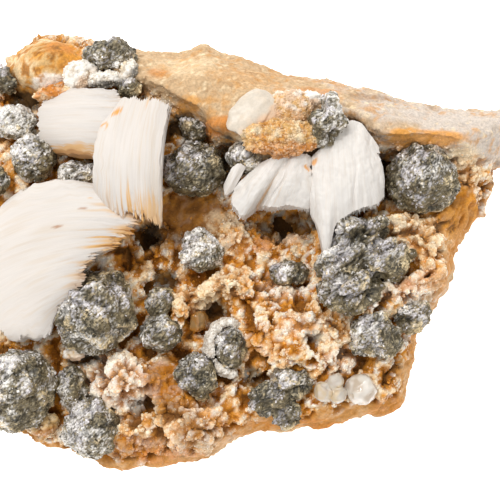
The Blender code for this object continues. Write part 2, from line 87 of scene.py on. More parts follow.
SAND = linear("#c8a881")
PALE_SAND = linear("#cfc2b5")
OCHRE = linear("#cb9350")
RUST = linear("#b06c14")
BROWN = linear("#7c501e")
# Painted shade: the dark colour laid into cavities and pits, under the middle fan and on the near side of two
# masses.
SHADE = linear("#332611")
CREAM = linear("#f6deb6")
ROSE = linear("#e7c4a2")
CHALK = linear("#faf4ea")
ORANGE = linear("#dd9530")
AMBER = linear("#cfa971")
BROKEN = linear("#c27f2e")
FLAME = linear("#d0802a")

# Smooth, bare patches without druse: x, y, half-lengths and how smooth they are.
BARE_PATCHES = [
    (-31, 26.4, 6, 5, 0.85), (29.5, 5, 3.4, 4.4, 0.6), (-9.4, 5.2, 5, 3, 0.45), (-13, -18.6, 2.4, 3, 0.3),
]
# Patches of colour on the rock: x, y, half-lengths along X and Y, colour and how fully it covers.
# The SHADE patches are painted shade in cavities and pits, and a painted shadow under the middle fan.
ROCK_PATCHES = [
    (-31, 26.2, 6, 5, AMBER, 0.95), (-33.6, 25.4, 2.2, 2, CREAM, 0.5), (-28.2, 28.4, 2.2, 1.2, FLAME, 0.85),
    (-26.6, 26, 1.9, 1.7, ORANGE, 0.9), (-28.6, 21.6, 3.6, 1.2, FLAME, 0.95), (-30, 23.4, 3, 0.9, CHALK, 0.8),
    (-33.6, 22.2, 1.6, 1, FLAME, 0.8), (-35, 28, 1.6, 1.4, CREAM, 0.7), (-32, 30.6, 3, 0.8, CREAM, 0.6),
    (-10, 26, 5, 2.4, CREAM, 0.3), (-14, 24.4, 1.6, 1.1, FLAME, 0.5), (-2, 24, 5, 2, OCHRE, 0.3),
    (8.6, 22.2, 3.4, 0.9, FLAME, 0.45), (17, 21.8, 4, 1, BROWN, 0.35), (27, 18.4, 9, 1.8, PALE_SAND, 0.8),
    (24, 14.8, 6, 1.1, ORANGE, 0.8), (-9.6, 19.4, 2, 1, ORANGE, 0.6), (-5.4, 16.4, 2.8, 1.1, FLAME, 0.8),
    (-9.8, 3.6, 6.4, 4.2, BROWN, 0.75), (-5, 2.6, 3.4, 2.4, CREAM, 0.45), (-3.4, 0.4, 2.6, 1.6, ROSE, 0.5),
    (-34, 21.4, 2.6, 2, SHADE, 0.9), (-11, 17.6, 2, 1.6, SHADE, 0.85), (-4.2, 12, 1.6, 3.2, SHADE, 0.9),
    (18.4, 10, 1.4, 3.8, SHADE, 0.9), (4, 3.2, 5.2, 2.8, SHADE, 0.65), (4.8, 1.6, 2.2, 0.9, ROSE, 0.8),
    (1, 0.6, 1.6, 1.4, FLAME, 0.7), (-15.5, 1.8, 1.8, 1.8, SHADE, 0.9), (-13.2, -4.6, 1.8, 1.6, SHADE, 0.8),
    (-6.4, -9, 2.2, 1.7, SHADE, 0.75), (-25, -16, 2.8, 1, SHADE, 0.8), (-16.6, -22.6, 1.8, 1.3, SHADE, 0.8),
    (-0.6, -18.6, 1.4, 1.6, SHADE, 0.75), (8, -13, 1.2, 0.9, SHADE, 0.7),
    (-19.5, -19.6, 5, 4.2, CHALK, 0.7), (-13.2, -19.8, 3, 3, RUST, 0.7), (-8.2, -27, 6, 4.2, ROSE, 0.5),
    (-9.4, -26.4, 2.6, 2.4, BROWN, 0.4), (-13, -23.6, 2.2, 2, BROWN, 0.5), (-15.5, -25, 5, 1.6, CREAM, 0.3),
    (-18, -28.6, 4, 1.8, RUST, 0.7), (-9.4, -7.9, 3.6, 1.8, CREAM, 0.8), (-4.6, -5.8, 3, 1.7, CREAM, 0.8),
    (11, -12, 2.6, 3, CREAM, 0.4), (21.5, -6, 6.4, 2.4, CHALK, 0.5), (22.5, 1.4, 4.6, 3.8, CREAM, 0.7),
    (25.4, -5, 2, 1.4, ORANGE, 0.7), (20.6, -5.8, 1.4, 1, FLAME, 0.6), (0.4, -14.4, 2.6, 2.4, ORANGE, 0.5),
    (3, -6.4, 3, 1.6, CHALK, 0.5), (6, -11.4, 3, 2.2, CHALK, 0.35), (11.6, -16.4, 2.4, 1.8, CHALK, 0.6),
    (30, 11, 2.6, 3, CREAM, 0.7), (29, 4, 3, 3, OCHRE, 0.6), (-37, -28, 5, 3, AMBER, 0.5),
    (8, -25.4, 8, 0.8, FLAME, 0.7), (19, -23, 3, 1.6, FLAME, 0.5), (-12, -30, 5, 1.2, FLAME, 0.6),
]


def smooth(share):
    """Turns smoothly from 0 to 1."""
    share = np.clip(share, 0, 1)
    return share * share * (3 - 2 * share)


def blend(start, end, share):
    """Colours between two colours, by a share for each place."""
    return start + (end - start) * np.asarray(share)[..., None]


def swells(points, size, seed=0.0, octaves=1):
    """Smooth random relief from about -1 to 1; size is the width of a swell."""
    places = (points / size + seed).tolist()
    if octaves == 1:
        return np.array([noise.noise(place) for place in places])
    return np.array([noise.fractal(place, 1.0, 2.0, octaves) for place in places])


def beads(points, size, seed):
    """Round knobs side by side, from 0 in the joints to 1 on top; size is the width of a knob."""
    places = (points / size + seed).tolist()
    nearest = np.array([noise.voronoi(place)[0][0] for place in places])
    return 1 - np.minimum(nearest * 1.35, 1) ** 2


def divided(node, voxel):
    """A finely divided copy of a CAD solid: its points and outward directions, and its faces."""
    shape = bmesh.new()
    shape.from_mesh(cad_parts[node].data)
    bmesh.ops.remove_doubles(shape, verts=shape.verts, dist=HAIR * MM)
    bmesh.ops.scale(shape, vec=(1 / MM,) * 3, verts=shape.verts)
    mesh = bpy.data.meshes.new(node)
    shape.to_mesh(mesh)
    shape.free()
    copy = bpy.data.objects.new(node, mesh)
    bpy.context.scene.collection.objects.link(copy)
    remesh = copy.modifiers.new("fine", "REMESH")
    remesh.mode = "VOXEL"
    remesh.voxel_size = voxel
    fine = bpy.data.meshes.new_from_object(copy.evaluated_get(bpy.context.evaluated_depsgraph_get()))
    bpy.data.objects.remove(copy)
    points = np.empty(len(fine.vertices) * 3)
    fine.vertices.foreach_get("co", points)
    outs = np.empty(len(fine.vertices) * 3)
    fine.vertices.foreach_get("normal", outs)
    faces = [tuple(face.vertices) for face in fine.polygons]
    bpy.data.meshes.remove(fine)
    return points.reshape(-1, 3), outs.reshape(-1, 3), faces


SHARP_EDGE = math.radians(60)


def piece(name, points, faces, tints, material, slot, rounded):
    """A mesh with a colour at each point, which rides on the specimen; rounded hides its small facets."""
    mesh = bpy.data.meshes.new(name)
    mesh.from_pydata((points * MM).tolist(), [], faces)
    layer = mesh.color_attributes.new("tint", "FLOAT_COLOR", "POINT")
    layer.data.foreach_set("color", np.column_stack((tints, np.ones(len(points)))).ravel())
    mesh.materials.append(material)
    if rounded:
        mesh.shade_smooth()
        mesh.set_sharp_from_angle(angle=SHARP_EDGE)
    else:
        mesh.shade_flat()
    made = bpy.data.objects.new(name, mesh)
    bpy.context.scene.collection.objects.link(made)
    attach(made, "root")
    return made


def add(material, kind, values=None, links=None, **properties):
    """Adds one node to a material, with its properties, socket values and incoming links."""
    node = material.node_tree.nodes.new(kind)
    for name, value in properties.items():
        setattr(node, name, value)
    for socket, value in (values or {}).items():
        node.inputs[socket].default_value = value
    for socket, source in (links or {}).items():
        material.node_tree.links.new(source, node.inputs[socket])
    return node


def start_material(name):
    """An empty material with its output, the colour kept at each point and the place in metres."""
    material = bpy.data.materials.new(name)
    material.use_nodes = True
    material.node_tree.nodes.clear()
    output = add(material, "ShaderNodeOutputMaterial")
    tint = add(material, "ShaderNodeAttribute", attribute_name="tint").outputs["Color"]
    place = add(material, "ShaderNodeTexCoord").outputs["Object"]
    return material, output, tint, place


# Levels of a noise texture that are stretched over the darkest and the lightest grain.
NOISE_RANGE = {"From Min": 0.3, "From Max": 0.7}


def flecked(material, tint, place, size, dark, light):
    """The kept colour with darker and lighter grains of this size in millimetres."""
    grains = add(material, "ShaderNodeTexNoise",
                 {"Scale": 1 / (size * MM), "Detail": 3.0, "Roughness": 0.6}, {"Vector": place})
    level = add(material, "ShaderNodeMapRange", {**NOISE_RANGE, "To Min": dark, "To Max": light},
                {"Value": grains.outputs["Fac"]})
    mixed = add(material, "ShaderNodeMix", {0: 1.0}, {6: tint, 7: level.outputs["Result"]},
                data_type="RGBA", blend_type="MULTIPLY")
    return mixed.outputs[2], grains.outputs["Fac"]


# Weathered dolomite: matt and gritty, like coarse sandpaper, with grains a third of a millimetre wide and
# grit a fifth of a millimetre wide.
DOLOMITE_GRAIN = 0.35
DOLOMITE_GRIT = 0.2
weathered_dolomite, output, tint, place = start_material("weathered_dolomite")
colour, grit = flecked(weathered_dolomite, tint, place, DOLOMITE_GRAIN, 0.76, 1.14)
fine_grit = add(weathered_dolomite, "ShaderNodeTexNoise",
                {"Scale": 1 / (DOLOMITE_GRIT * MM), "Detail": 2.0}, {"Vector": place})
relief = add(weathered_dolomite, "ShaderNodeBump", {"Strength": 0.5, "Distance": 0.12 * MM},
             {"Height": fine_grit.outputs["Fac"]})
relief = add(weathered_dolomite, "ShaderNodeBump", {"Strength": 0.5, "Distance": 0.25 * MM},
             {"Height": grit, "Normal": relief.outputs["Normal"]})
surface = add(weathered_dolomite, "ShaderNodeBsdfPrincipled", {"Roughness": 0.8, "Specular IOR Level": 0.3},
              {"Base Color": colour, "Normal": relief.outputs["Normal"]})
weathered_dolomite.node_tree.links.new(surface.outputs["BSDF"], output.inputs["Surface"])


# How far the slab reaches from its middle in each direction, read from the CAD solid in narrow sectors.
DIRECTIONS = np.linspace(-math.pi, math.pi, 181)
SECTOR = 0.06
slab = np.array([tuple(vert.co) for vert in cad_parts["matrix"].data.vertices]) / MM
slab_turns = np.arctan2(slab[:, 1], slab[:, 0])
slab_reach = np.hypot(slab[:, 0], slab[:, 1])
SLAB_REACH = np.array([slab_reach[np.abs(slab_turns - turn) < SECTOR].max() for turn in DIRECTIONS])


def inset(points):
    """How far each place lies inside the slab's outline, towards the middle."""
    turns = np.arctan2(points[:, 1], points[:, 0])
    return np.interp(turns, DIRECTIONS, SLAB_REACH) - np.hypot(points[:, 0], points[:, 1])


def ledge_share(points):
    """1 on the ledge and 0 in the hollow."""
    return smooth((points[:, 1] - np.interp(points[:, 0], RIM_X, RIM_Y)) / RIM_WALL + 0.5)


def side_share(points, outs):
    """1 on the broken sides and 0 on top."""
    edge = 0.45 - outs[:, 2] + 0.3 * swells(points, 2.6, 77.0, 2)
    return smooth(edge / 0.4) * smooth((SIDE_REACH - inset(points)) / 1.5)


def rim_share(points):
    """1 on the worn rim along the near edge and the right, where the druse has gone."""
    near = smooth((6 - points[:, 1]) / 4) + smooth((points[:, 0] - 22) / 4)
    edge = RIM_REACH - inset(points) + 1.6 * swells(points, 3.2, 21.0)
    return smooth(edge / 0.9) * np.clip(near, 0, 1)


def patch_reach(points, x, y, half_x, half_y):
    """How far each place lies from the middle of a patch, 1 at its edge."""
    return np.hypot((points[:, 0] - x) / half_x, (points[:, 1] - y) / half_y)


def bare_share(points):
    """How bare and smooth each place is."""
    bare = np.zeros(len(points))
    wander = 0.16 * swells(points, 1.5, 31.0)
    for *patch, cover in BARE_PATCHES:
        reach = patch_reach(points, *patch) + wander
        bare = np.maximum(bare, cover * smooth((1.05 - reach) / 0.16))
    return bare


def rock_colours(points, outs, proud):
    """Colour of the rock at each place; proud says how far it stands out of the joints, 0 to 1."""
    ledge = ledge_share(points)
    side = side_share(points, outs) * (1 - 0.9 * bare_share(points))
    broad = swells(points, 5.0, 3.1, 3)
    small = swells(points, 1.3, 8.7, 2)
    recess = blend(BROWN, RUST, smooth(0.5 + broad))
    grain = swells(points, 0.5, 19.0)
    top = blend(CREAM, ORANGE, smooth(0.1 + 1.1 * small + 0.4 * broad + 0.5 * grain))
    top = blend(top, CHALK, smooth(0.1 - 1.8 * small - 0.4 * broad - 0.9 * grain))
    colours = blend(recess, blend(RUST, ORANGE, smooth(0.4 + small)), smooth((proud - 0.12) / 0.25))
    crusted = smooth((proud - 0.42) / 0.2) * np.maximum(1 - 1.6 * bare_share(points), 0)
    # Painted shade: darker where little stands out, in the joints and the holes.
    colours = blend(colours, top, crusted) * (0.65 + 0.35 * smooth(proud * 4))[:, None]
    sandy = blend(SAND, PALE_SAND, smooth((points[:, 0] - 6) / 20 + 0.9 * broad))
    sandy = blend(sandy, OCHRE, 0.7 * smooth(small * 1.4 - 0.1 + 1.1 * broad + 0.7 * grain))
    sandy = blend(sandy, CREAM, 0.75 * smooth(grain * 1.8 - 1.2 * small - 0.35))
    sandy = blend(sandy, BROWN, 0.4 * smooth(-2.2 * small - 0.8 - grain))
    colours = blend(colours, sandy, ledge)
    worn = blend(OCHRE, BROKEN, smooth(0.5 + broad + small))
    worn = blend(worn, CREAM, 0.4 * smooth(small * 1.5 + 0.8 * grain - 0.2))
    colours = blend(colours, worn, 0.85 * rim_share(points) * (1 - ledge))
    bands = swells(points * (0.3, 0.3, 1), 1.6, 12.0, 3)
    broken = blend(SAND, OCHRE, smooth(0.4 + broad + bands))
    broken = blend(broken, BROKEN, 0.8 * smooth(1.4 * small + 0.8 * broad + 0.1))
    broken = blend(broken, BROWN, 0.5 * smooth(1.6 * bands - 1.2 * small - 0.2))
    broken = blend(broken, CREAM, 0.5 * smooth(grain - 1.5 * small - 0.2))
    # Painted shade: the broken sides are darker in their joints.
    broken = broken * (0.55 + 0.45 * smooth(proud * 3))[:, None]
    colours = blend(colours, broken, side)
    wander = 0.3 * small + 0.25 * broad
    for *patch, colour, cover in ROCK_PATCHES:
        reach = patch_reach(points, *patch) + wander
        share = cover * smooth((1.25 - reach) / 0.5) * (1 - side)
        # Light colours lie on what stands out, and dark ones also in the joints.
        if colour is not SHADE and colour is not BROWN:
            share = share * (0.1 + 0.9 * smooth((proud - 0.28) / 0.3 + ledge))
        colours = blend(colours, colour[None, :], share)
    return colours


def coarse_back(points, outs, faces):
    """The flat back with few faces: its points are gathered in the middle of small squares."""
    squares = np.floor(points[:, :2] / BACK_SQUARE)
    middles = (squares + 0.5) * BACK_SQUARE
    gathered = np.flatnonzero((points[:, 2] < HAIR) & (inset(middles) > 1.5 * BACK_SQUARE))
    points[gathered, :2] = middles[gathered]
    first, inverse = np.unique(squares[gathered], axis=0, return_index=True, return_inverse=True)[1:]
    stand_in = np.arange(len(points))
    stand_in[gathered] = gathered[first][inverse.ravel()]
    kept = [tuple(dict.fromkeys(corners)) for corners in stand_in[np.array(faces)].tolist()]
    kept = [face for face in kept if len(face) > 2]
    used = np.unique([corner for face in kept for corner in face])
    order = np.zeros(len(points), int)
    order[used] = np.arange(len(used))
    return points[used], outs[used], [tuple(order[corner] for corner in face) for face in kept]


# Widths and depths of the crust's knobs, of the finer knobs on them, of its branches and of its holes,
# and of the chunks that the sides break into; widths of the rock's waves, layers and grit; and the
# height over which all of it fades towards the flat back.
KNOB, KNOB_DEPTH = 1.9, 0.8
SMALL_KNOB, SMALL_KNOB_DEPTH = 0.95, 0.65
BRANCH, BRANCH_DEPTH = 3.4, 0.65
HOLE, HOLE_DEPTH = 2.3, 1.2
CHUNK, CHUNK_DEPTH = 6.0, 1.2
WAVE, LAYER, GRIT = 3.5, 2.6, 0.6
FOOT = 1.5

rock_points, rock_outs, rock_faces = coarse_back(*divided("matrix", ROCK_VOXEL))
ledge = ledge_share(rock_points)
side = side_share(rock_points, rock_outs)
# The druse grows in knobs a millimetre or two wide, strung together in branches with deep joints.
bends = [swells(rock_points, 2.4, seed, 2) for seed in (41.0, 43.0, 47.0)]
bent = rock_points + 0.9 * np.column_stack(bends)
knobs = beads(bent, KNOB, 3.0)
small_knobs = beads(bent, SMALL_KNOB, 11.0)
branches = 1 - np.minimum(np.abs(swells(bent, BRANCH, 61.0)) * 3.2, 1)
waves = swells(rock_points, WAVE, 5.5, 3)
grit_relief = swells(rock_points, GRIT, 7.0)
bare = bare_share(rock_points)
bare = np.maximum(bare, 0.7 * rim_share(rock_points) * (1 - ledge))
holes = smooth((swells(rock_points, HOLE, 15.0) - 0.22) / 0.15) * (1 - ledge) * (1 - side) * (1 - bare)
hollow_move = (KNOB_DEPTH * (knobs - 0.5) + SMALL_KNOB_DEPTH * (small_knobs - 0.5)
               + BRANCH_DEPTH * (branches - 0.4) + 0.5 * waves + 0.24 * grit_relief - HOLE_DEPTH * holes)
# The ledge weathers in low layers, and the sides break in layers and chunks.
layers = swells(rock_points * (0.4, 1.2, 1.2), LAYER, 4.0, 3)
ledge_move = 0.3 * waves + 0.5 * layers + 0.16 * grit_relief + 0.16 * small_knobs
chunks = beads(bent, CHUNK, 9.0)
side_move = (0.5 * waves + 0.6 * layers + 0.22 * grit_relief + 0.35 * (small_knobs - 0.6)
             + CHUNK_DEPTH * (chunks - 0.7))
move = hollow_move + (ledge_move - hollow_move) * ledge
move = move + (0.35 * waves - move) * bare
move = move + (side_move - move) * side * (1 - 0.7 * bare)
move *= smooth(rock_points[:, 2] / FOOT)
rock_points = rock_points + rock_outs * move[:, None]
rock_points[:, 2] = np.maximum(rock_points[:, 2], 0)
# How far each place stands out of the joints, from 0 to 1.
rock_proud = 0.32 * knobs + 0.42 * small_knobs + 0.36 * branches + 0.3 * grit_relief
rock_proud = np.clip(rock_proud, 0, 1) * (1 - 0.9 * holes)
rock_tints = rock_colours(rock_points, rock_outs, rock_proud)
rock = piece("rock", rock_points, rock_faces, rock_tints, weathered_dolomite, "sandy_matrix", True)
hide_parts("matrix")

# Druse
# The sugary crust that lines the hollow and its mounds: tiny dolomite and quartz crystals, cream, pink
# and orange, grown on the rock and catching the light.

DRUSE_COUNT = 17000
DRUSE_SIZES = (0.12, 0.34)
GRAIN_COUNT = 4200
GRAIN_SIZES = (0.22, 0.46)
OCTAHEDRON = np.array([(1, 0, 0), (-1, 0, 0), (0, 1, 0), (0, -1, 0), (0, 0, 1), (0, 0, -1)], float)
OCTAHEDRON_FACES = np.array([
    (4, 0, 2), (4, 2, 1), (4, 1, 3), (4, 3, 0), (5, 2, 0), (5, 1, 2), (5, 3, 1), (5, 0, 3)])


def ball(subdivisions):
    """Corners and faces of a ball with a radius of 1."""
    shape = bmesh.new()
    bmesh.ops.create_icosphere(shape, subdivisions=subdivisions, radius=1)
    corners = np.array([tuple(vert.co) for vert in shape.verts])
    faces = np.array([[vert.index for vert in face.verts] for face in shape.faces])
    shape.free()
    return corners, faces


def spots(points, faces, count, draw, weights, values=None):
    """Random places on a surface, more of them where the points' weights are high, and their values."""
    triangles = [face[:3] for face in faces]
    triangles += [(face[0], face[2], face[3]) for face in faces if len(face) == 4]
    corners = np.array(triangles)
    a, b, c = points[corners[:, 0]], points[corners[:, 1]], points[corners[:, 2]]
    cross = np.cross(b - a, c - a)
    areas = np.linalg.norm(cross, axis=1)
    chances = areas * weights[corners].mean(axis=1)
    chosen = draw.choice(len(corners), count, p=chances / chances.sum())
    first = np.sqrt(draw.random(count))
    second = draw.random(count)
    shares = np.column_stack((1 - first, first * (1 - second), first * second))
    places = a[chosen] * shares[:, :1] + b[chosen] * shares[:, 1:2] + c[chosen] * shares[:, 2:]
    outs = cross[chosen] / areas[chosen][:, None]
    if values is None:
        return places, outs
    return places, outs, np.einsum("nc...,nc->n...", values[corners[chosen]], shares)


def turned(count, draw):
    """Random turns as matrices."""
    w, x, y, z = draw.normal(size=(4, count))
    size = np.sqrt(w * w + x * x + y * y + z * z)
    w, x, y, z = w / size, x / size, y / size, z / size
    rows = [(1 - 2 * (y * y + z * z), 2 * (x * y - z * w), 2 * (x * z + y * w)),
            (2 * (x * y + z * w), 1 - 2 * (x * x + z * z), 2 * (y * z - x * w)),
            (2 * (x * z - y * w), 2 * (y * z + x * w), 1 - 2 * (x * x + y * y))]
    return np.moveaxis(np.array(rows), 2, 0)


def crystals(places, outs, sizes, form, form_faces, draw, slim=0.7):
    """Small crystals of one form, each turned at random, with how far out each corner stands, -1 to 1."""
    stretch = draw.uniform(slim, 1.0, (len(places), 1, 3))
    shaped = form[None] * stretch * sizes[:, None, None]
    arms = np.einsum("nij,nkj->nki", turned(len(places), draw), shaped)
    rise = np.einsum("nki,ni->nk", arms, outs) / sizes[:, None]
    corners = arms + places[:, None, :]
    faces = form_faces[None] + (np.arange(len(places)) * len(form))[:, None, None]
    return corners.reshape(-1, 3), faces.reshape(-1, form_faces.shape[1]).tolist(), rise.ravel()


def joined(parts):
    """Several meshes as one: points, faces and colours."""
    points, faces, tints = [], [], []
    start = 0
    for part_points, part_faces, part_tints in parts:
        points.append(part_points)
        tints.append(part_tints)
        faces.extend([tuple(corner + start for corner in face) for face in part_faces])
        start += len(part_points)
    return np.concatenate(points), faces, np.concatenate(tints)


# Dolomite and quartz druse: small glossy faces that catch the light, faintly mottled.
SUGAR_GRAIN = 0.3
sugary_druse, output, tint, place = start_material("sugary_druse")
colour = flecked(sugary_druse, tint, place, SUGAR_GRAIN, 0.92, 1.06)[0]
surface = add(sugary_druse, "ShaderNodeBsdfPrincipled",
              {"Roughness": 0.35, "IOR": 1.5, "Specular IOR Level": 0.4}, {"Base Color": colour})
sugary_druse.node_tree.links.new(surface.outputs["BSDF"], output.inputs["Surface"])


def tree_of(nodes):
    """A search tree over the faces of CAD solids, in millimetres."""
    corners, faces = [], []
    for node in nodes:
        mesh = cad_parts[node].data
        faces.extend([tuple(corner + len(corners) for corner in face.vertices) for face in mesh.polygons])
        corners.extend([vert.co / MM for vert in mesh.vertices])
    return BVHTree.FromPolygons(corners, faces)


SUGAR = linear("#f5e6cb")
DRUSE_SEED = 21
UP = Vector((0, 0, 1))
# The druse shows only where no lump or spray stands over the rock.
over = tree_of(sorted(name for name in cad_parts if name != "matrix"))
open_sky = np.array([over.ray_cast(Vector(place), UP)[0] is None for place in rock_points], float)
draw = np.random.default_rng(DRUSE_SEED)
top_side = smooth((rock_outs[:, 2] + 0.1) / 0.4)
lining = (1 - ledge) * (1 - 0.93 * side)
for *patch, colour, cover in ROCK_PATCHES:
    if colour is SHADE:
        lining = lining * (1 - 0.8 * smooth(1.3 - patch_reach(rock_points, *patch)))
lining = lining * (1 - bare) ** 3 * (0.05 + 0.95 * open_sky)
druse_weights = (lining * top_side * (0.15 + rock_proud) + 1e-6) * (rock_points[:, 2] > 3)


def crust(name, count, size_range, form, form_faces, weights):
    """A crowd of crystals grown on the rock, in its colours, with stain and painted shade at their bases."""
    places, outs, proud = spots(rock_points, rock_faces, count, draw, weights, rock_proud)
    sizes = size_range[0] + (size_range[1] - size_range[0]) * draw.random(count) ** 2
    sunk = places - 0.3 * sizes[:, None] * outs
    points, faces, rise = crystals(sunk, outs, sizes, form, form_faces, draw, 0.5)
    tints = rock_colours(places, outs, np.clip(proud + 0.12, 0, 1))
    light_zone = smooth((tints.mean(axis=1) - 0.3) / 0.25)
    tints = blend(tints, SUGAR, 0.6 * light_zone * draw.random(count))
    tints = blend(tints, ORANGE, 0.5 * (draw.random(count) < 0.2))
    tints = np.repeat(tints * draw.uniform(0.8, 1.15, (count, 1)), len(form), axis=0)
    # Corners that point into the rock are darker and more orange: orange stain with painted shade.
    joint = blend(tints * (0.86, 0.7, 0.46), tints, smooth(0.6 + 0.7 * rise))
    piece(name, points, faces, np.minimum(joint, 1), sugary_druse, "sandy_matrix", False)


crust("druse_one", DRUSE_COUNT // 2, DRUSE_SIZES, OCTAHEDRON, OCTAHEDRON_FACES, druse_weights)
crust("druse_two", DRUSE_COUNT // 2, DRUSE_SIZES, OCTAHEDRON, OCTAHEDRON_FACES, druse_weights)
crust("coarse_druse", GRAIN_COUNT, GRAIN_SIZES, *ball(1), druse_weights * rock_proud)

PEARL = linear("#d8c8b4")
HONEY = linear("#e5b46c")
SHELL = linear("#cfc3b2")
MASS_SEED = 33
# Masses grown on the ledge and beside the sheaves: centre, half-lengths, turn in plan in degrees, width
# and depth of the large knobs and of the fine ones, grains of sugar on them, colour of the joints, of
# the knobs, of some of the knobs and of the underside.
MASSES = [
    ((-0.5, 17.8, 22.7), (4, 2.6, 1.1), 38, (3, 0.04), (0.9, 0.03), 0, SHELL, SHELL, PEARL, ROSE),
    ((4.6, 18.9, 22.2), (3.2, 2.4, 1.4), 10, (1.5, 0.35), (0.6, 0.2), 500, HONEY, ROSE, CHALK, OCHRE),
    ((7.8, 20.1, 22.1), (1.6, 0.9, 1.3), -10, (1.2, 0.2), (0.5, 0.12), 60, PEARL, CHALK, CHALK, ROSE),
    ((3.4, 14.3, 22.7), (5.4, 2.7, 2.3), 3, (1.4, 0.5), (0.6, 0.3), 1500, ORANGE, HONEY, CREAM, FLAME),
    ((-25.3, 24.3, 19.4), (2.7, 2, 1.6), 40, (1.5, 0.3), (0.6, 0.2), 200, PEARL, CHALK, CHALK, ROSE),
    ((-21.6, 23.4, 19.8), (2.7, 1.2, 1.4), 5, (1.2, 0.3), (0.6, 0.2), 150, PEARL, CHALK, CHALK, SHADE),
    ((-18.2, 24.6, 20.6), (1.6, 1.2, 1.2), 60, (1.2, 0.2), (0.6, 0.2), 80, PEARL, CHALK, CREAM, SHADE),
    ((-28.4, 21.8, 18.6), (3.8, 1.3, 1.4), 8, (1.3, 0.3), (0.6, 0.15), 120, RUST, FLAME, CREAM, RUST),
    ((-30.4, -25.4, 14.6), (2.3, 1.5, 1.7), 20, (1.1, 0.35), (0.5, 0.15), 60, BROWN, AMBER, CREAM, RUST),
    ((-25.8, -15.4, 16.4), (1.6, 1.1, 1.3), 10, (1, 0.2), (0.5, 0.1), 0, AMBER, PEARL, CHALK, ROSE),
]

parts = []
draw = np.random.default_rng(MASS_SEED)
for order, (centre, halves, turn, large, fine, sugar, joint, knob, some, under) in enumerate(MASSES):
    ball_points, ball_faces = ball(5 if halves[0] > 3 else 4)
    bend = 1 + 0.2 * swells(ball_points, 0.8, order * 1.7, 2)
    points = ball_points * halves * bend[:, None]
    angle = math.radians(turn)
    points = np.column_stack((points[:, 0] * math.cos(angle) - points[:, 1] * math.sin(angle),
                              points[:, 0] * math.sin(angle) + points[:, 1] * math.cos(angle),
                              points[:, 2])) + centre
    rise = beads(points, large[0], order + 0.4)
    small_rise = beads(points, fine[0], order + 5.4)
    points = points + ball_points * (large[1] * (rise - 0.6) + fine[1] * (small_rise - 0.6))[:, None]
    tints = blend(joint, knob, smooth((0.6 * rise + 0.4 * small_rise - 0.15) / 0.35))
    tints = blend(tints, some, smooth(1.6 * swells(points, 1.4, order + 2.4, 2) + 0.3 * rise))
    # The near side, away from the lamps, turns to the underside colour; where that is SHADE it is painted
    # shade.
    low = -0.6 - 2.2 * ball_points[:, 1] + 0.8 * swells(points, 1, order + 9)
    # Painted shade in the joints between the fine knobs, deeper where the knobs are deeper.
    tints = blend(tints, under, 0.8 * smooth(low)) * (1 - 1.2 * fine[1] * (1 - small_rise))[:, None]
    parts.append((points, ball_faces.tolist(), tints))
    if sugar:
        weights = smooth(ball_points[:, 2] + 0.6)
        places, outs, kept = spots(points, ball_faces, sugar, draw, weights, tints)
        sizes = draw.uniform(0.12, 0.3, sugar)
        grains, grain_faces = crystals(places, outs, sizes, OCTAHEDRON, OCTAHEDRON_FACES, draw)[:2]
        kept = blend(kept, SUGAR, 0.4 * draw.random(sugar)) * draw.uniform(0.8, 1.15, (sugar, 1))
        parts.append((grains, grain_faces, np.repeat(np.minimum(kept, 1), len(OCTAHEDRON), axis=0)))
piece("grown_masses", *joined(parts), sugary_druse, "sandy_matrix", True)

# Galena lumps
# Rounded lumps of lead sulphide, grown into the rock. Their skin is a crowd of cubes and cleaved
# chips under a millimetre wide, dark grey with an olive and brown tarnish.

# Width of the skin's faces, sizes of its chips and how many cover a square millimetre, and widths of its
# ridges and of the beads on them. Chips show where the skin is farther than ROCK_GAP from the rock.
GALENA_VOXEL = 0.28
GALENA_SEED = 300
CHIP_SIZES = (0.09, 0.23)
CHIPS_PER_SQUARE = 3.6
KNOB_WIDTH = 2.6
BEAD_WIDTH = 0.6
ROCK_GAP = 0.6
CUBE = np.array([(x, y, z) for x in (-1, 1) for y in (-1, 1) for z in (-1, 1)], float)
CUBE_FACES = np.array([(0, 1, 3, 2), (4, 6, 7, 5), (0, 4, 5, 1), (2, 3, 7, 6), (0, 2, 6, 4), (1, 5, 7, 3)])
LEAD = linear("#a39679")
DARK_LEAD = linear("#3e382a")
OLIVE = linear("#7d6c47")
# Painted highlight: the silver laid on faces turned up and towards the lamps.
PAINTED_HIGHLIGHT = linear("#dcd7da")
FROST = linear("#f4efe8")
TAN_CRUST = linear("#e3cda2")
# Share of a lump's skin that is frosted white, the side in plan where the frost is thickest, in degrees
# from +X, and the share that is crusted tan, where they aren't the usual ones.
SKINS = {
    "galena_far_left": (1.0, 150, 0.1), "galena_left": (0.55, 120, 0.1), "galena_left_edge": (0.3, 90, 0.2),
    "galena_between_sheaves": (0.8, 180, 0.45), "galena_far_edge": (0.3, 250, 0),
    "galena_small_middle": (0.78, 135, 0.25), "galena_near_edge": (0.48, 225, 0.15),
    "galena_near_left": (0.45, 160, 0.25), "galena_big_left": (0.3, 225, 0.35),
    "galena_lower_right": (0.4, 160, 0.35), "galena_right": (0.3, 60, 0.15),
    "galena_by_blade": (0.6, 140, 0.3), "galena_in_rind": (0.3, 120, 0.15),
    "galena_under_crest": (0.2, 120, 0.4), "galena_beside_big": (0.3, 200, 0.2),
    "galena_near_right": (0.3, 80, 0.2), "galena_ledge": (0.5, 20, 0), "galena_middle": (0.25, 130, 0.12),
    "galena_left_rim": (0.3, 90, 0.1), "galena_under_ledge": (0.6, 90, 0.3),
}
USUAL_SKIN = (0.25, 130, 0.15)
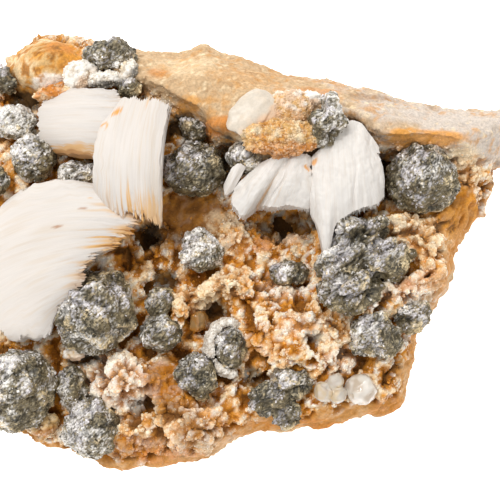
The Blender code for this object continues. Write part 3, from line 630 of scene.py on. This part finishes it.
# Direction in plan, in degrees from +X, stretch and depth of the ridges on a lump.
RIDGES = {
    "galena_centre_right": (36, 4, 1.8), "galena_lower_right": (30, 1.8, 0.9),
    "galena_under_crest": (25, 2, 0.9), "galena_near_right": (60, 1.3, 0.9), "galena_ledge": (120, 1.8, 2.2),
}
USUAL_RIDGES = (40, 1.3, 0.5)
# How far a lump's druse fills the space round its core, where it does.
FILLS = {"galena_by_blade": 0.7, "galena_far_left": 0.3, "galena_centre_right": 0.3, "galena_ledge": 0.5}

# Cleaved galena: a dull metal with bright faces about a quarter of a millimetre wide.
GALENA_GRAIN = 0.27
cleaved_galena, output, tint, place = start_material("cleaved_galena")
colour, grit = flecked(cleaved_galena, tint, place, GALENA_GRAIN, 0.5, 1.45)
shine = add(cleaved_galena, "ShaderNodeMapRange", {**NOISE_RANGE, "To Min": 0.25, "To Max": 0.6},
            {"Value": grit})
relief = add(cleaved_galena, "ShaderNodeBump", {"Strength": 0.6, "Distance": 0.12 * MM}, {"Height": grit})
surface = add(cleaved_galena, "ShaderNodeBsdfPrincipled", {"Metallic": 0.3, "Specular IOR Level": 0.6},
              {"Base Color": colour, "Roughness": shine.outputs["Result"],
               "Normal": relief.outputs["Normal"]})
cleaved_galena.node_tree.links.new(surface.outputs["BSDF"], output.inputs["Surface"])


def galena_colours(places, outs, draw, frosted, side, crusted):
    """Painted silver highlight on top and to the upper left; olive, tan and painted shade lower down."""
    broad = swells(places, 2.6, 1.3)
    # Faces turned up and towards the lamps at the upper left get the silver painted highlight and are less
    # dark and olive; the other side is painted shade.
    height = 0.9 * outs[:, 2] - 0.35 * outs[:, 0] + 0.35 * outs[:, 1]
    painted_light = smooth(height + 1.3 * broad - 0.3)
    colours = blend(LEAD, DARK_LEAD, smooth(draw.random(len(places)) * 1.8 - 0.1 - 0.4 * painted_light))
    colours = blend(colours, OLIVE, 0.75 * smooth(0.6 + 1.1 * broad - 0.6 * painted_light))
    colours = blend(colours, PAINTED_HIGHLIGHT, 0.9 * smooth(draw.random(len(places)) * 2.4 - 2.3 + 1.9 * painted_light))
    flecks = draw.random(len(places)) * 0.5 + swells(places, 2.0, 4.4, 2) - 0.2 * height
    colours = blend(colours, TAN_CRUST, 0.85 * smooth((flecks - 0.75 + crusted) * 4))
    facing = outs[:, 0] * math.cos(math.radians(side)) + outs[:, 1] * math.sin(math.radians(side))
    patches = 0.9 * swells(places, 1.7, 6.1) + 0.4 * facing
    frost = smooth((draw.random(len(places)) + patches - 1.1 + frosted) * 3)
    return blend(colours, FROST, 0.8 * frost)


def ridges(points, width, turn, stretch, seed):
    """Rounded ridges with sharp joints, 0 in the joints and 1 on top; they run at an angle in plan."""
    angle = math.radians(turn)
    along = points[:, 0] * math.cos(angle) + points[:, 1] * math.sin(angle)
    over = points[:, 1] * math.cos(angle) - points[:, 0] * math.sin(angle)
    places = np.column_stack((along / stretch, over, points[:, 2]))
    return np.minimum(np.abs(swells(places, width, seed)) * 2.8, 1) ** 0.7


pockets = tree_of(["matrix"])
for order, node in enumerate(sorted(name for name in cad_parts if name.startswith("galena"))):
    draw = np.random.default_rng(GALENA_SEED + order)
    skin = SKINS.get(node, USUAL_SKIN)
    turn, stretch, depth = RIDGES.get(node, USUAL_RIDGES)
    points, outs, faces = divided(node, GALENA_VOXEL)
    free = np.array([pockets.find_nearest(Vector(place))[3] > ROCK_GAP for place in points], float)
    knobs = ridges(points, KNOB_WIDTH, turn, stretch, order + 0.5)
    small_knobs = ridges(points, 0.4 * KNOB_WIDTH, turn, stretch, order + 7.5)
    grains = beads(points, BEAD_WIDTH, order + 3.5)
    relief = depth * (knobs - 0.8) + 0.3 * depth * (small_knobs - 0.7) + 0.2 * (grains - 0.5)
    relief += 0.35 * swells(points, 1.6, order + 2.5, 2) + FILLS.get(node, 0)
    points = points + outs * relief[:, None]
    # Painted shade: darker in the joints between ridges and grains, less so on frosted lumps.
    shade = 0.1 + 0.25 * skin[0] + 0.5 * knobs + 0.25 * small_knobs + 0.3 * grains
    tints = galena_colours(points, outs, draw, *skin) * np.clip(shade, 0.08, 1.05)[:, None]
    shown = smooth((outs[:, 2] + 0.55) / 0.5) * (0.02 + 0.98 * free)
    weights = shown * (0.1 + knobs * small_knobs)
    corner = np.array([face[:3] for face in faces])
    legs = points[corner[:, 1]] - points[corner[:, 0]], points[corner[:, 2]] - points[corner[:, 0]]
    areas = np.linalg.norm(np.cross(*legs), axis=1) * shown[corner[:, 0]]
    count = int(areas.sum() * CHIPS_PER_SQUARE)
    places, chip_outs = spots(points, faces, count, draw, weights)
    sizes = CHIP_SIZES[0] + (CHIP_SIZES[1] - CHIP_SIZES[0]) * draw.random(count) ** 2
    places = places - chip_outs * sizes[:, None] * 0.55
    chips, chip_faces, rise = crystals(places, chip_outs, sizes, CUBE, CUBE_FACES, draw, 0.6)
    chip_tints = np.repeat(galena_colours(places, chip_outs, draw, *skin), len(CUBE), axis=0)
    # Painted shade: chip corners that point into the lump are darker.
    chip_tints *= (0.65 + 0.35 * smooth(0.5 + 0.5 * rise))[:, None]
    parts = [(points, faces, tints), (chips, chip_faces, chip_tints)]
    lump = piece(node + "_lump", *joined(parts), cleaved_galena, "dark_galena", False)
    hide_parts(node)

# Sheaves
# Three sheaves of white cerussite on the left, grown together at their roots: long, thin blades side
# by side with a silky lustre, whose free tips end ragged and are stained brown by iron.

SILK = linear("#d4ccc4")
WARM_SILK = linear("#cfc2b3")
COOL_SILK = linear("#e0dad3")
STAIN = linear("#daa55c")
DEEP_STAIN = linear("#9c622a")
# Width and length of the silky lines.
STREAK_WIDTH = 0.22
STREAK_LENGTH = 4.0
# Each fibre line runs from a blade's root to its free tip. Tufts are how many there are across and how
# deep their ends are cut, blunt is the share of the width whose ends are even, a stain is its strength
# and where it lies across, and a mark is a stained spot: across, along, both half-lengths, colour, cover.
LEFT_SHEAF = {
    "fibres": [
        [(-34.4, 7.2, 17.8), (-29, 8.4, 20.6), (-21.6, 7.8, 22.2)],
        [(-36.6, 5.2, 17.6), (-28.2, 6.8, 20.8), (-18.4, 6.4, 23)],
        [(-38.2, 2, 17.2), (-27.6, 4.3, 20.8), (-16.2, 4.2, 23.5)],
        [(-39, -1.4, 16.8), (-28, 1.4, 20.5), (-16.7, 1.1, 23.6)],
        [(-39.3, -5, 16.4), (-28.6, -1.8, 20), (-18, -0.8, 23.2)],
        [(-38.8, -8.6, 16), (-30, -5, 19.6), (-22.4, -3.2, 22.8)],
        [(-37.6, -11, 16), (-30.2, -8, 19.4), (-23.5, -6.2, 22.3)],
        [(-36.4, -12.8, 16), (-31.6, -11.2, 18.6), (-27.2, -9.8, 21)],
        [(-34.8, -13.8, 16), (-31.6, -13.7, 18.2), (-28.6, -13.3, 20)],
    ],
    "thickness": 7.5, "bow": 3.0, "tufts": [(9, 0.09), (34, 0.05)], "blunt": 0.28, "stain": (1.0, 0.48, 0.24),
    "marks": [(0.27, 0.66, 0.008, 0.02, DEEP_STAIN, 0.8), (0.37, 0.52, 0.007, 0.02, DEEP_STAIN, 0.7),
              (0.2, 0.72, 0.006, 0.02, STAIN, 0.8)],
}
CENTRE_SHEAF = {
    "fibres": [
        [(-21, 17.8, 22.6), (-22.6, 12, 24.8), (-22.4, 5.4, 23.2)],
        [(-19, 19.8, 22.9), (-20.8, 11.5, 25.5), (-20.8, 3.6, 23.8)],
        [(-17, 20.6, 22.9), (-18.7, 11, 26), (-18.4, 2.4, 24)],
        [(-15, 20.6, 22.9), (-16.5, 11, 26.1), (-16, 1.8, 24)],
        [(-13.7, 20.3, 22.9), (-14.6, 11, 26), (-14.3, 1.2, 23.6)],
        [(-12, 19.2, 22.8), (-13.3, 10.6, 25.6), (-13, 1.4, 22.9)],
    ],
    "thickness": 9, "bow": 0, "tufts": [(6, 0.06), (30, 0.07)], "blunt": 0.2, "stain": (1.0, 0.74, 0.4),
    "marks": [(0.2, 0.13, 0.07, 0.03, ORANGE, 0.9), (0.06, 0.2, 0.05, 0.02, ORANGE, 0.8),
              (0.12, 0.24, 0.015, 0.05, STAIN, 0.8), (0.62, 0.06, 0.02, 0.08, STAIN, 0.5),
              (0.9, 0.85, 0.2, 0.3, WARM_SILK, 0.8), (0.78, 0.92, 0.24, 0.16, STAIN, 0.6)],
}
UPPER_SHEAF = {
    "fibres": [
        [(-27.4, 22.2, 19.4), (-19.6, 21.3, 22)], [(-31, 20.6, 18.4), (-18.6, 19.6, 23)],
        [(-32, 18, 17.8), (-18.6, 17, 24)], [(-31.4, 15.2, 17.6), (-19.5, 13.8, 23.4)],
        [(-29, 12.9, 17.4), (-21.5, 11.6, 22)],
    ],
    "thickness": 5.5, "bow": 1.4, "tufts": [(6, 0.05), (15, 0.06)], "stain": (0.1, 0.5, 0.5), "warm": 0.45,
    "marks": [(0.98, 0.5, 0.15, 0.6, STAIN, 0.8), (1.0, 0.55, 0.07, 0.6, DEEP_STAIN, 0.6)],
}

# Cerussite: silky along its fine blades, and milky, because light passes under its skin. The lines are
# a fifth of a millimetre apart.
silky_cerussite, output, tint, place = start_material("silky_cerussite")
streak = add(silky_cerussite, "ShaderNodeAttribute", attribute_name="streak").outputs["Vector"]
lines = add(silky_cerussite, "ShaderNodeTexNoise", {"Scale": 1.0, "Detail": 3.0, "Roughness": 0.65},
            {"Vector": streak})
level = add(silky_cerussite, "ShaderNodeMapRange", {**NOISE_RANGE, "To Min": 0.95, "To Max": 1.02},
            {"Value": lines.outputs["Fac"]})
colour = add(silky_cerussite, "ShaderNodeMix", {0: 1.0}, {6: tint, 7: level.outputs["Result"]},
             data_type="RGBA", blend_type="MULTIPLY")
relief = add(silky_cerussite, "ShaderNodeBump", {"Strength": 0.35, "Distance": 0.06 * MM},
             {"Height": lines.outputs["Fac"]})
surface = add(silky_cerussite, "ShaderNodeBsdfPrincipled",
              {"Roughness": 0.5, "Specular IOR Level": 0.35, "Subsurface Weight": 0.15,
               "Subsurface Radius": (1.0, 0.9, 0.8), "Subsurface Scale": 0.4 * MM},
              {"Base Color": colour.outputs[2], "Normal": relief.outputs["Normal"]})
silky_cerussite.node_tree.links.new(surface.outputs["BSDF"], output.inputs["Surface"])


def spray_arch(across):
    """How full a spray is, from its edges to its middle."""
    return np.sin(math.pi * (0.1 + 0.8 * np.clip(across, 0, 1)))


def spray_top(spray, across, share):
    """Places on top of a spray: across runs over its fibre lines, share from root to tip."""
    lines = np.array(spray["fibres"], float)
    rim = np.stack((share * 7, across * 3, np.full(across.shape, 7.0)), axis=-1).reshape(-1, 3)
    bites = np.abs(swells(rim, 1.0, spray["thickness"])).reshape(across.shape)
    notch = 0.14 * (1 - spray_arch(across)) * bites
    across = across + np.sign(0.5 - across) * notch
    spot = np.clip(across, 0, 1) * (len(lines) - 1)
    first = np.clip(spot.astype(int), 0, len(lines) - 2)
    part = (spot - first)[..., None, None]
    before, start = lines[np.maximum(first - 1, 0)], lines[first]
    end, after = lines[first + 1], lines[np.minimum(first + 2, len(lines) - 1)]
    line = 0.5 * (2 * start + (end - before) * part + (2 * before - 5 * start + 4 * end - after) * part ** 2
                  + (3 * start - before - 3 * end + after) * part ** 3)
    along = share[..., None]
    if lines.shape[1] == 2:
        place = line[..., 0, :] * (1 - along) + line[..., 1, :] * along
    else:
        place = (line[..., 0, :] * (1 - along) * (1 - 2 * along) + line[..., 1, :] * 4 * along * (1 - along)
                 + line[..., 2, :] * along * (2 * along - 1))
    place[..., 2] += spray["bow"] * np.sin(math.pi * share) * spray_arch(across) ** 0.6
    flat = np.stack((across * 5, share * 2.2, np.full(across.shape, spray["bow"])), axis=-1).reshape(-1, 3)
    place[..., 2] += 0.15 * swells(flat, 1.0, 2.2).reshape(across.shape)
    folds, depth = spray.get("folds", (0, 0))
    if folds:
        sheets = np.stack((across * folds, share * 1.6, np.full(across.shape, 4.4)), axis=-1).reshape(-1, 3)
        crease = 1 - np.minimum(np.abs(swells(sheets, 1.0, 9.1)).reshape(across.shape) * 4, 1)
        place[..., 2] -= depth * crease ** 2 * smooth(share * 2.5 - 0.3)
        place[..., 2] += 0.8 * depth * swells(sheets, 1.7, 6.1).reshape(across.shape) * smooth(share * 2)
    return place


def spray_depth(spray, across, share):
    """How thick a spray is below its top."""
    along = np.sin(math.pi * (0.14 + 0.74 * np.clip(share, 0, 1)))
    return spray["thickness"] * spray_arch(across) ** 0.5 * along


def tip_share(spray, across, seed):
    """Where the blades end at each place across: in pointed tufts of uneven length."""
    share = np.ones(across.shape)
    ragged = smooth((across - spray.get("blunt", -1)) / 0.2)
    for count, depth in spray["tufts"]:
        lengths = np.random.default_rng(int(10 * seed) + count).random(count + 1)
        place = np.clip(across, 0, 1) * count
        cell = place.astype(int)
        share -= depth * ragged * (0.55 * lengths[cell] + 0.45 * np.abs(2 * (place - cell) - 1))
    return share


def spray_tints(spray, across, share, shades, seed):
    """Silky white, warmer in streaks, with stained tips and spots."""
    places = np.stack((across * 44, share * 3, np.full(across.shape, seed)), axis=-1).reshape(-1, 3)
    streaks = swells(places, 1.0, 0.0, 2).reshape(across.shape)
    colours = blend(spray.get("silk", SILK), WARM_SILK, spray.get("warm", 0.7) * smooth(0.2 + 1.1 * streaks))
    strength, middle, reach = spray["stain"]
    stain = strength * np.exp(-((across - middle) / reach) ** 2)
    colours = blend(colours, STAIN, stain * smooth((share - 0.78 + 0.3 * streaks) / 0.2))
    colours = blend(colours, DEEP_STAIN, stain * smooth((share - 0.93 + 0.25 * streaks) / 0.12))
    for mark_across, mark_share, half_across, half_share, colour, cover in spray["marks"]:
        distance = np.hypot((across - mark_across) / half_across, (share - mark_share) / half_share)
        colours = blend(colours, colour, cover * smooth((1.4 - distance) / 0.9 + 0.8 * streaks))
    return colours * shades[..., None]


def spray_body(spray, seed, across_rows=160, share_rows=40):
    """The closed heart of a spray, streaked along its blades and felted where it says so."""
    across = np.linspace(0, 1, across_rows)
    tips = tip_share(spray, across, seed) - 0.03
    grid_across = np.repeat(across[:, None], share_rows, axis=1)
    roots = 0.7 * (1 - tip_share(spray, across, seed + 9))
    grid_share = roots[:, None] + (tips - roots)[:, None] * np.linspace(0, 1, share_rows)[None, :]
    top = spray_top(spray, grid_across, grid_share)
    under = spray_top(spray, 0.5 + 0.88 * (grid_across - 0.5), grid_share)
    depth = np.maximum(spray_depth(spray, grid_across, grid_share), 0.5)
    under[..., 2] -= depth
    run = streak_places(grid_across, grid_share, spray)
    fine = swells(run * (0.6, 1, 1), 1.0, seed).reshape(grid_across.shape)
    coarse = swells(run * (0.2, 0.6, 1), 1.0, seed + 5).reshape(grid_across.shape)
    felt = swells(top.reshape(-1, 3), 1.1, 3.0, 3).reshape(grid_across.shape)
    ridged = 0.4 + 0.6 * smooth(1.5 * grid_share)
    top[..., 2] += ridged * (0.012 * fine + 0.025 * coarse) + spray.get("felt", 0) * felt * (1.3 - grid_share)
    points = np.concatenate((top.reshape(-1, 3), under.reshape(-1, 3)))
    tints = spray_tints(spray, grid_across, grid_share, 0.98 + 0.02 * fine + 0.015 * coarse, seed)
    tints = np.concatenate((tints.reshape(-1, 3), tints.reshape(-1, 3)))
    count = across_rows * share_rows
    faces = []
    for row in range(across_rows - 1):
        for step in range(share_rows - 1):
            corner = row * share_rows + step
            quad = (corner, corner + share_rows, corner + share_rows + 1, corner + 1)
            faces.append(quad[::-1])
            faces.append(tuple(count + index for index in quad))
    border = list(range(share_rows))
    border += [row * share_rows + share_rows - 1 for row in range(1, across_rows)]
    border += [(across_rows - 1) * share_rows + step for step in range(share_rows - 2, -1, -1)]
    border += [row * share_rows for row in range(across_rows - 2, 0, -1)]
    for start, end in zip(border, border[1:] + border[:1]):
        faces.append((start, end, count + end, count + start))
    under_run = run + depth.reshape(-1, 1) / STREAK_WIDTH * (0, 0, 1)
    return points, faces, tints, np.concatenate((run, under_run))


def streak_places(across, share, spray):
    """Coordinates that run along the blades, in steps of a fifth of a millimetre across."""
    lines = np.array(spray["fibres"], float)
    width = np.linalg.norm(lines[1:, -1] - lines[:-1, -1], axis=1).sum()
    length = np.linalg.norm(lines[:, -1] - lines[:, 0], axis=1).mean()
    run = (across * width / STREAK_WIDTH, share * length / STREAK_LENGTH, np.zeros(across.shape))
    return np.stack(run, axis=-1).reshape(-1, 3)


def spray_blades(spray, draw, seed, count, widths, layers, roots, lift, edges, rows=6, tilt=0.08):
    """Single blades: four-sided, widest in the middle, pointed at the tip; edges puts them on the sides."""
    across = draw.random(count)
    if edges:
        across = np.where(across < 0.5, 0.1 * across, 1 - 0.1 * (1 - across))
    layer = draw.uniform(*layers, count)
    tips = tip_share(spray, across, seed) + draw.normal(0, 0.015, count)
    start = draw.uniform(*roots, count)
    end = np.maximum(tips - 0.15 * draw.random(count) ** 4, start + 0.1)
    width = widths[0] + (widths[1] - widths[0]) * draw.random(count) ** 1.5
    steps = np.linspace(0, 1, rows)
    share = start[:, None] + (end - start)[:, None] * steps[None, :]
    drift = draw.normal(0, 0.006, count)[:, None] * steps[None, :]
    line_across = across[:, None] + drift
    small = 0.01
    centre = spray_top(spray, line_across, share)
    sideways = spray_top(spray, line_across + small, share) - spray_top(spray, line_across - small, share)
    forward = spray_top(spray, line_across, share + small) - spray_top(spray, line_across, share - small)
    sideways /= np.linalg.norm(sideways, axis=-1, keepdims=True) + 1e-9
    forward /= np.linalg.norm(forward, axis=-1, keepdims=True) + 1e-9
    upward = np.cross(sideways, forward)
    upward *= np.sign(upward[..., 2:3])
    upward /= np.linalg.norm(upward, axis=-1, keepdims=True)
    centre[..., 2] -= layer[:, None] * spray_depth(spray, line_across, share)
    raised = draw.uniform(-0.3, 1, count)[:, None] * lift * steps[None, :] - 0.15 * (1 - steps[None, :]) ** 2
    centre += upward * raised[..., None]
    angle = draw.normal(0, tilt, count)[:, None, None]
    left = sideways * np.cos(angle) + upward * np.sin(angle)
    crown = upward * np.cos(angle) - sideways * np.sin(angle)
    form = np.minimum(0.6 + 0.8 * steps, 1) * (1 - smooth((steps - 0.75) / 0.25) * 0.96)
    half = (width[:, None] * form[None, :] / 2)[..., None]
    ring = np.stack((centre + left * half, centre + crown * half * 0.14, centre - left * half,
                     centre - crown * half * 0.9), axis=2)
    shades = draw.uniform(0.95, 1.0, count)[:, None] * np.ones(rows)[None, :]
    tints = spray_tints(spray, line_across, share, shades, seed)
    points = ring.reshape(-1, 3)
    tints = np.repeat(tints.reshape(-1, 3), 4, axis=0)
    streak = np.repeat(streak_places(line_across, share, spray), 4, axis=0)
    one = []
    for row in range(rows - 1):
        for side_index in range(4):
            after = (side_index + 1) % 4
            one.append((4 * row + side_index, 4 * row + after, 4 * row + 4 + after, 4 * row + 4 + side_index))
    one.append((3, 2, 1, 0))
    last = 4 * (rows - 1)
    one.append((last, last + 1, last + 2, last + 3))
    faces = np.array(one)[None] + (np.arange(count) * 4 * rows)[:, None, None]
    return points, faces.reshape(-1, 4).tolist(), tints, streak


def spray_piece(name, parts, nodes):
    """Joins the bodies and blades of a spray in one piece, which stands for its CAD nodes."""
    made = piece(name, *joined([part[:3] for part in parts]), silky_cerussite, "white_cerussite", True)
    layer = made.data.attributes.new("streak", "FLOAT_VECTOR", "POINT")
    layer.data.foreach_set("vector", np.concatenate([part[3] for part in parts]).ravel())
    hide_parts(*nodes)


SHEAF_SEED = 50
# Crowds of single blades on a sheaf: how many on the largest one, their widths, how deep they lie as a
# share of its thickness, where along it they root, how far their tips lift, and whether they grow only
# on its two sides.
SHEAF_BLADES = [
    (300, (0.08, 0.2), (0, 0.005), (0.1, 0.75), 0.01, False),
    (420, (0.2, 0.5), (0, 0.05), (0.66, 0.88), 0.05, False),
    (120, (0.3, 0.8), (0.05, 0.95), (0.2, 0.7), 0, False),
    (200, (0.2, 0.6), (0, 0.8), (0, 0.7), 0, True),
]

parts = []
for order, (spray, share) in enumerate(((LEFT_SHEAF, 1.0), (CENTRE_SHEAF, 0.6), (UPPER_SHEAF, 0.4))):
    draw = np.random.default_rng(SHEAF_SEED + order)
    mark = order * 3.7
    parts.append(spray_body(spray, mark))
    for count, *form in SHEAF_BLADES:
        parts.append(spray_blades(spray, draw, mark, int(count * share), *form))
spray_piece("white_sheaves", parts, ["cerussite_sheaves"])

# Fans
# Two fans of cerussite that hang from the ledge over the hollow, and one loose blade beside them: the
# middle fan of thick blades with gaps, the right one felted at its root and finely ridged below.

FAN_MIDDLE = {
    "fibres": [
        [(0.8, 11.4, 20.5), (-3.6, 7.4, 19.4)], [(2, 11.8, 21.5), (-4, 5, 19.4)],
        [(3.2, 12.2, 22), (-2.6, 3.1, 19.2)], [(4.2, 12.4, 22), (-1, 4.1, 18.4)],
        [(4.9, 12.4, 22), (-0.2, 5, 17)], [(5.5, 12.4, 22.2), (1.2, 4.6, 18.6)],
        [(6.1, 12.4, 22.4), (3.2, 4.6, 19)], [(6.9, 12.3, 22), (5.4, 4.7, 19.2)],
        [(7.9, 12, 21), (7.8, 4.1, 18.8)],
    ],
    "thickness": 8, "bow": 0.9, "tufts": [(5, 0.06), (24, 0.03)], "stain": (0.0, 0.5, 0.5),
    "folds": (4, 0.4), "felt": 0.2, "silk": COOL_SILK, "warm": 0.35,
    "marks": [(0.49, 0.8, 0.035, 0.3, STAIN, 0.6), (0.94, 0.25, 0.04, 0.05, ORANGE, 0.8),
              (0.3, 0.9, 0.012, 0.15, WARM_SILK, 0.8), (0.68, 0.75, 0.012, 0.15, STAIN, 0.25)],
}
FAN_RIGHT = {
    "fibres": [
        [(7.7, 12, 21.4), (7.5, 4.1, 19.4)], [(8.6, 12.8, 21.8), (8.5, 1.6, 19.6)],
        [(9.6, 13.8, 22), (9.8, -3.4, 19)], [(10.6, 14.8, 22.4), (10.9, 1.4, 20)],
        [(11.8, 16, 22.6), (12.4, 3, 20.4)], [(13, 16.8, 22.6), (14, 3.8, 20.5)],
        [(14.4, 16.6, 22.3), (15.6, 4.4, 20.4)], [(15.8, 15.2, 21.6), (17, 5, 20)],
        [(17.2, 13.4, 20.8), (18.1, 6.6, 19.4)],
    ],
    "thickness": 8, "bow": 1.0, "tufts": [(7, 0.015), (30, 0.012)], "stain": (0.0, 0.5, 0.5),
    "folds": (4, 0.25), "felt": 0.18, "silk": COOL_SILK, "warm": 0.3,
    "marks": [(0.04, 0.14, 0.04, 0.05, ORANGE, 0.8)],
}
BLADE = {
    "fibres": [
        [(-3.6, 10.4, 20.8), (-4.8, 8, 19.4)], [(-2.5, 11, 21.2), (-4.6, 6.4, 19.2)],
        [(-1.5, 10.6, 20.6), (-3.4, 7.2, 19.2)],
    ],
    "thickness": 3, "bow": 0.4, "tufts": [(4, 0.06)], "stain": (0.0, 0.5, 0.5), "silk": COOL_SILK,
    "marks": [],
}

FAN_SEED = 71
# Each piece with its CAD node, form, mark, rows across and along its body, and its crowds of single
# blades, listed as for the sheaves.
FANS = [
    ("middle_fan", "cerussite_fan_middle", FAN_MIDDLE, 12.0, (150, 50), [
        (50, (0.15, 0.35), (0, 0.01), (0.3, 0.6), 0.03, False),
        (140, (0.5, 1.2), (0.1, 0.9), (0, 0.4), 0, False),
        (60, (0.3, 0.8), (0, 0.8), (0, 0.5), 0, True)]),
    ("right_fan", "cerussite_fan_right", FAN_RIGHT, 16.0, (150, 70), [
        (120, (0.1, 0.25), (0, 0.005), (0.4, 0.7), 0.02, False),
        (160, (0.5, 1.0), (0.1, 0.95), (0, 0.4), 0, False),
        (100, (0.3, 0.8), (0, 0.8), (0, 0.5), 0, True)]),
    ("loose_blade", "cerussite_blade", BLADE, 18.0, (24, 24), [
        (10, (0.2, 0.5), (0.1, 0.5), (0.0, 0.35), 0.07, False)]),
]

draw = np.random.default_rng(FAN_SEED)
for name, node, spray, mark, rows, crowds in FANS:
    parts = [spray_body(spray, mark, *rows)]
    for crowd in crowds:
        parts.append(spray_blades(spray, draw, mark, *crowd))
    spray_piece(name, parts, [node])

# Rind and clear crystals
# A pale rind of fine crystals wraps one galena lump on three sides. Three clear crystals stand free:
# two near the lower edge and an amber one in the middle.

# Widths of the faces of the rind and of the crystals, and the grains on the rind.
RIND_VOXEL = 0.35
CRYSTAL_VOXEL = 0.14
RIND_SEED = 90
RIND_GRAINS = 900
RIND_GRAIN_SIZES = (0.1, 0.24)

points, outs, faces = divided("pale_rind", RIND_VOXEL)
knobs = beads(points, 0.9, 2.0)
points = points + outs * (0.2 + 0.22 * (knobs - 0.6) + 0.3 * swells(points, 1.4, 1.0, 3))[:, None]
# Pearl in the joints and chalk on the knobs, with painted shade darkening the joints.
tints = blend(PEARL, CHALK, smooth(knobs * 1.3 - 0.1)) * (0.7 + 0.24 * knobs)[:, None]
draw = np.random.default_rng(RIND_SEED)
places, outs = spots(points, faces, RIND_GRAINS, draw, np.ones(len(points)))
sizes = draw.uniform(*RIND_GRAIN_SIZES, RIND_GRAINS)
grains, grain_faces = crystals(places, outs, sizes, OCTAHEDRON, OCTAHEDRON_FACES, draw)[:2]
grain_tints = blend(CHALK, PEARL, draw.random(RIND_GRAINS)) * draw.uniform(0.65, 0.95, (RIND_GRAINS, 1))
grain_tints = np.repeat(grain_tints, len(OCTAHEDRON), axis=0)
parts = [(points, faces, tints), (grains, grain_faces, grain_tints)]
rind = piece("rind", *joined(parts), sugary_druse, "pale_rind", False)
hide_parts("pale_rind")


def faceted(points, draw, count=16, keep=0.84):
    """Points cut flat by planes that face random ways, like the faces of a crystal."""
    middle = points.mean(axis=0)
    for direction in draw.normal(size=(count, 3)):
        direction = direction / np.linalg.norm(direction)
        height = (points - middle) @ direction
        points = points - np.maximum(height - keep * height.max(), 0)[:, None] * direction
    return points


# Calcite, clear to amber: glassy, with a slightly etched skin.
for node, core, skin, clear, swell in (
        ("clear_crystal", CHALK, CREAM, 0.5, 0.3), ("pale_crystal", PEARL, CHALK, 0.3, 0.6),
        ("amber_crystal", AMBER, ORANGE, 0.6, 0.4)):
    glassy_calcite, output, tint, place = start_material("glassy_calcite_" + node)
    etching = add(glassy_calcite, "ShaderNodeTexNoise", {"Scale": 1 / (0.5 * MM), "Detail": 2.0},
                  {"Vector": place})
    relief = add(glassy_calcite, "ShaderNodeBump", {"Strength": 0.25, "Distance": 0.06 * MM},
                 {"Height": etching.outputs["Fac"]})
    surface = add(glassy_calcite, "ShaderNodeBsdfPrincipled",
                  {"Roughness": 0.15, "IOR": 1.6, "Transmission Weight": clear},
                  {"Base Color": tint, "Normal": relief.outputs["Normal"]})
    glassy_calcite.node_tree.links.new(surface.outputs["BSDF"], output.inputs["Surface"])
    points, outs, faces = divided(node, CRYSTAL_VOXEL)
    patches = swells(points, 1.1, 3.3, 2)
    points = faceted(points + outs * (swell + 0.4 * patches)[:, None], draw)
    stone = piece(node + "_stone", points, faces, blend(core, skin, smooth(0.4 + patches)), glassy_calcite,
                  "clear_crystal", True)
    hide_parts(node)

# Studio
# A white table under a large soft lamp at the back, a smaller lamp for the sparkle of the facets, and
# white surroundings. The camera looks down as the photograph does.

# The table and the lamps are laid out in metres. The table's top is a tenth of a millimetre below the
# specimen's back. Each lamp has its name, place, width and power in watts.
TABLE_REACH = 0.8
TABLE_TOP = -0.0001
LAMPS = [("back_lamp", (-0.1, 0.22, 0.45), 0.22, 1.0), ("spark_lamp", (-0.2, 0.1, 0.45), 0.02, 0.5)]
LIT_POINT = Vector((0, 0, 0.015))

corners = [(x * TABLE_REACH, y * TABLE_REACH, TABLE_TOP) for x, y in ((-1, -1), (1, -1), (1, 1), (-1, 1))]
table_mesh = bpy.data.meshes.new("table")
table_mesh.from_pydata(corners, [], [(0, 1, 2, 3)])
table = bpy.data.objects.new("table", table_mesh)
bpy.context.scene.collection.objects.link(table)
table_white = bpy.data.materials.new("table_white")
table_white.use_nodes = True
sockets = table_white.node_tree.nodes["Principled BSDF"].inputs
sockets["Base Color"].default_value = (0.9, 0.9, 0.9, 1)
sockets["Roughness"].default_value = 0.9
sockets["Emission Color"].default_value = (1, 1, 1, 1)
sockets["Emission Strength"].default_value = 0.9
table_mesh.materials.append(table_white)
table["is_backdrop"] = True

world = bpy.data.worlds.new("white_room")
world.use_nodes = True
world.node_tree.nodes["Background"].inputs["Color"].default_value = (1, 1, 1, 1)
world.node_tree.nodes["Background"].inputs["Strength"].default_value = 0.85
bpy.context.scene.world = world
for name, place, size, power in LAMPS:
    lamp = bpy.data.lights.new(name, "AREA")
    lamp.size = size
    lamp.energy = power
    stand = bpy.data.objects.new(name, lamp)
    stand.location = place
    stand.rotation_euler = (LIT_POINT - Vector(place)).to_track_quat("-Z", "Y").to_euler()
    bpy.context.scene.collection.objects.link(stand)

TARGET = Vector((-1.0, -1.2, 20.0)) * MM
DISTANCE = 194.4 * MM
ELEVATION = math.radians(82)
lens = bpy.data.cameras.new("camera")
lens.lens = 100
lens.sensor_width = 36
camera = bpy.data.objects.new("camera", lens)
camera.location = TARGET + DISTANCE * Vector((0, -math.cos(ELEVATION), math.sin(ELEVATION)))
camera.rotation_euler = (math.pi / 2 - ELEVATION, 0, 0)
bpy.context.scene.collection.objects.link(camera)
bpy.context.scene.camera = camera
bpy.context.scene.view_settings.view_transform = "Standard"

low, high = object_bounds()
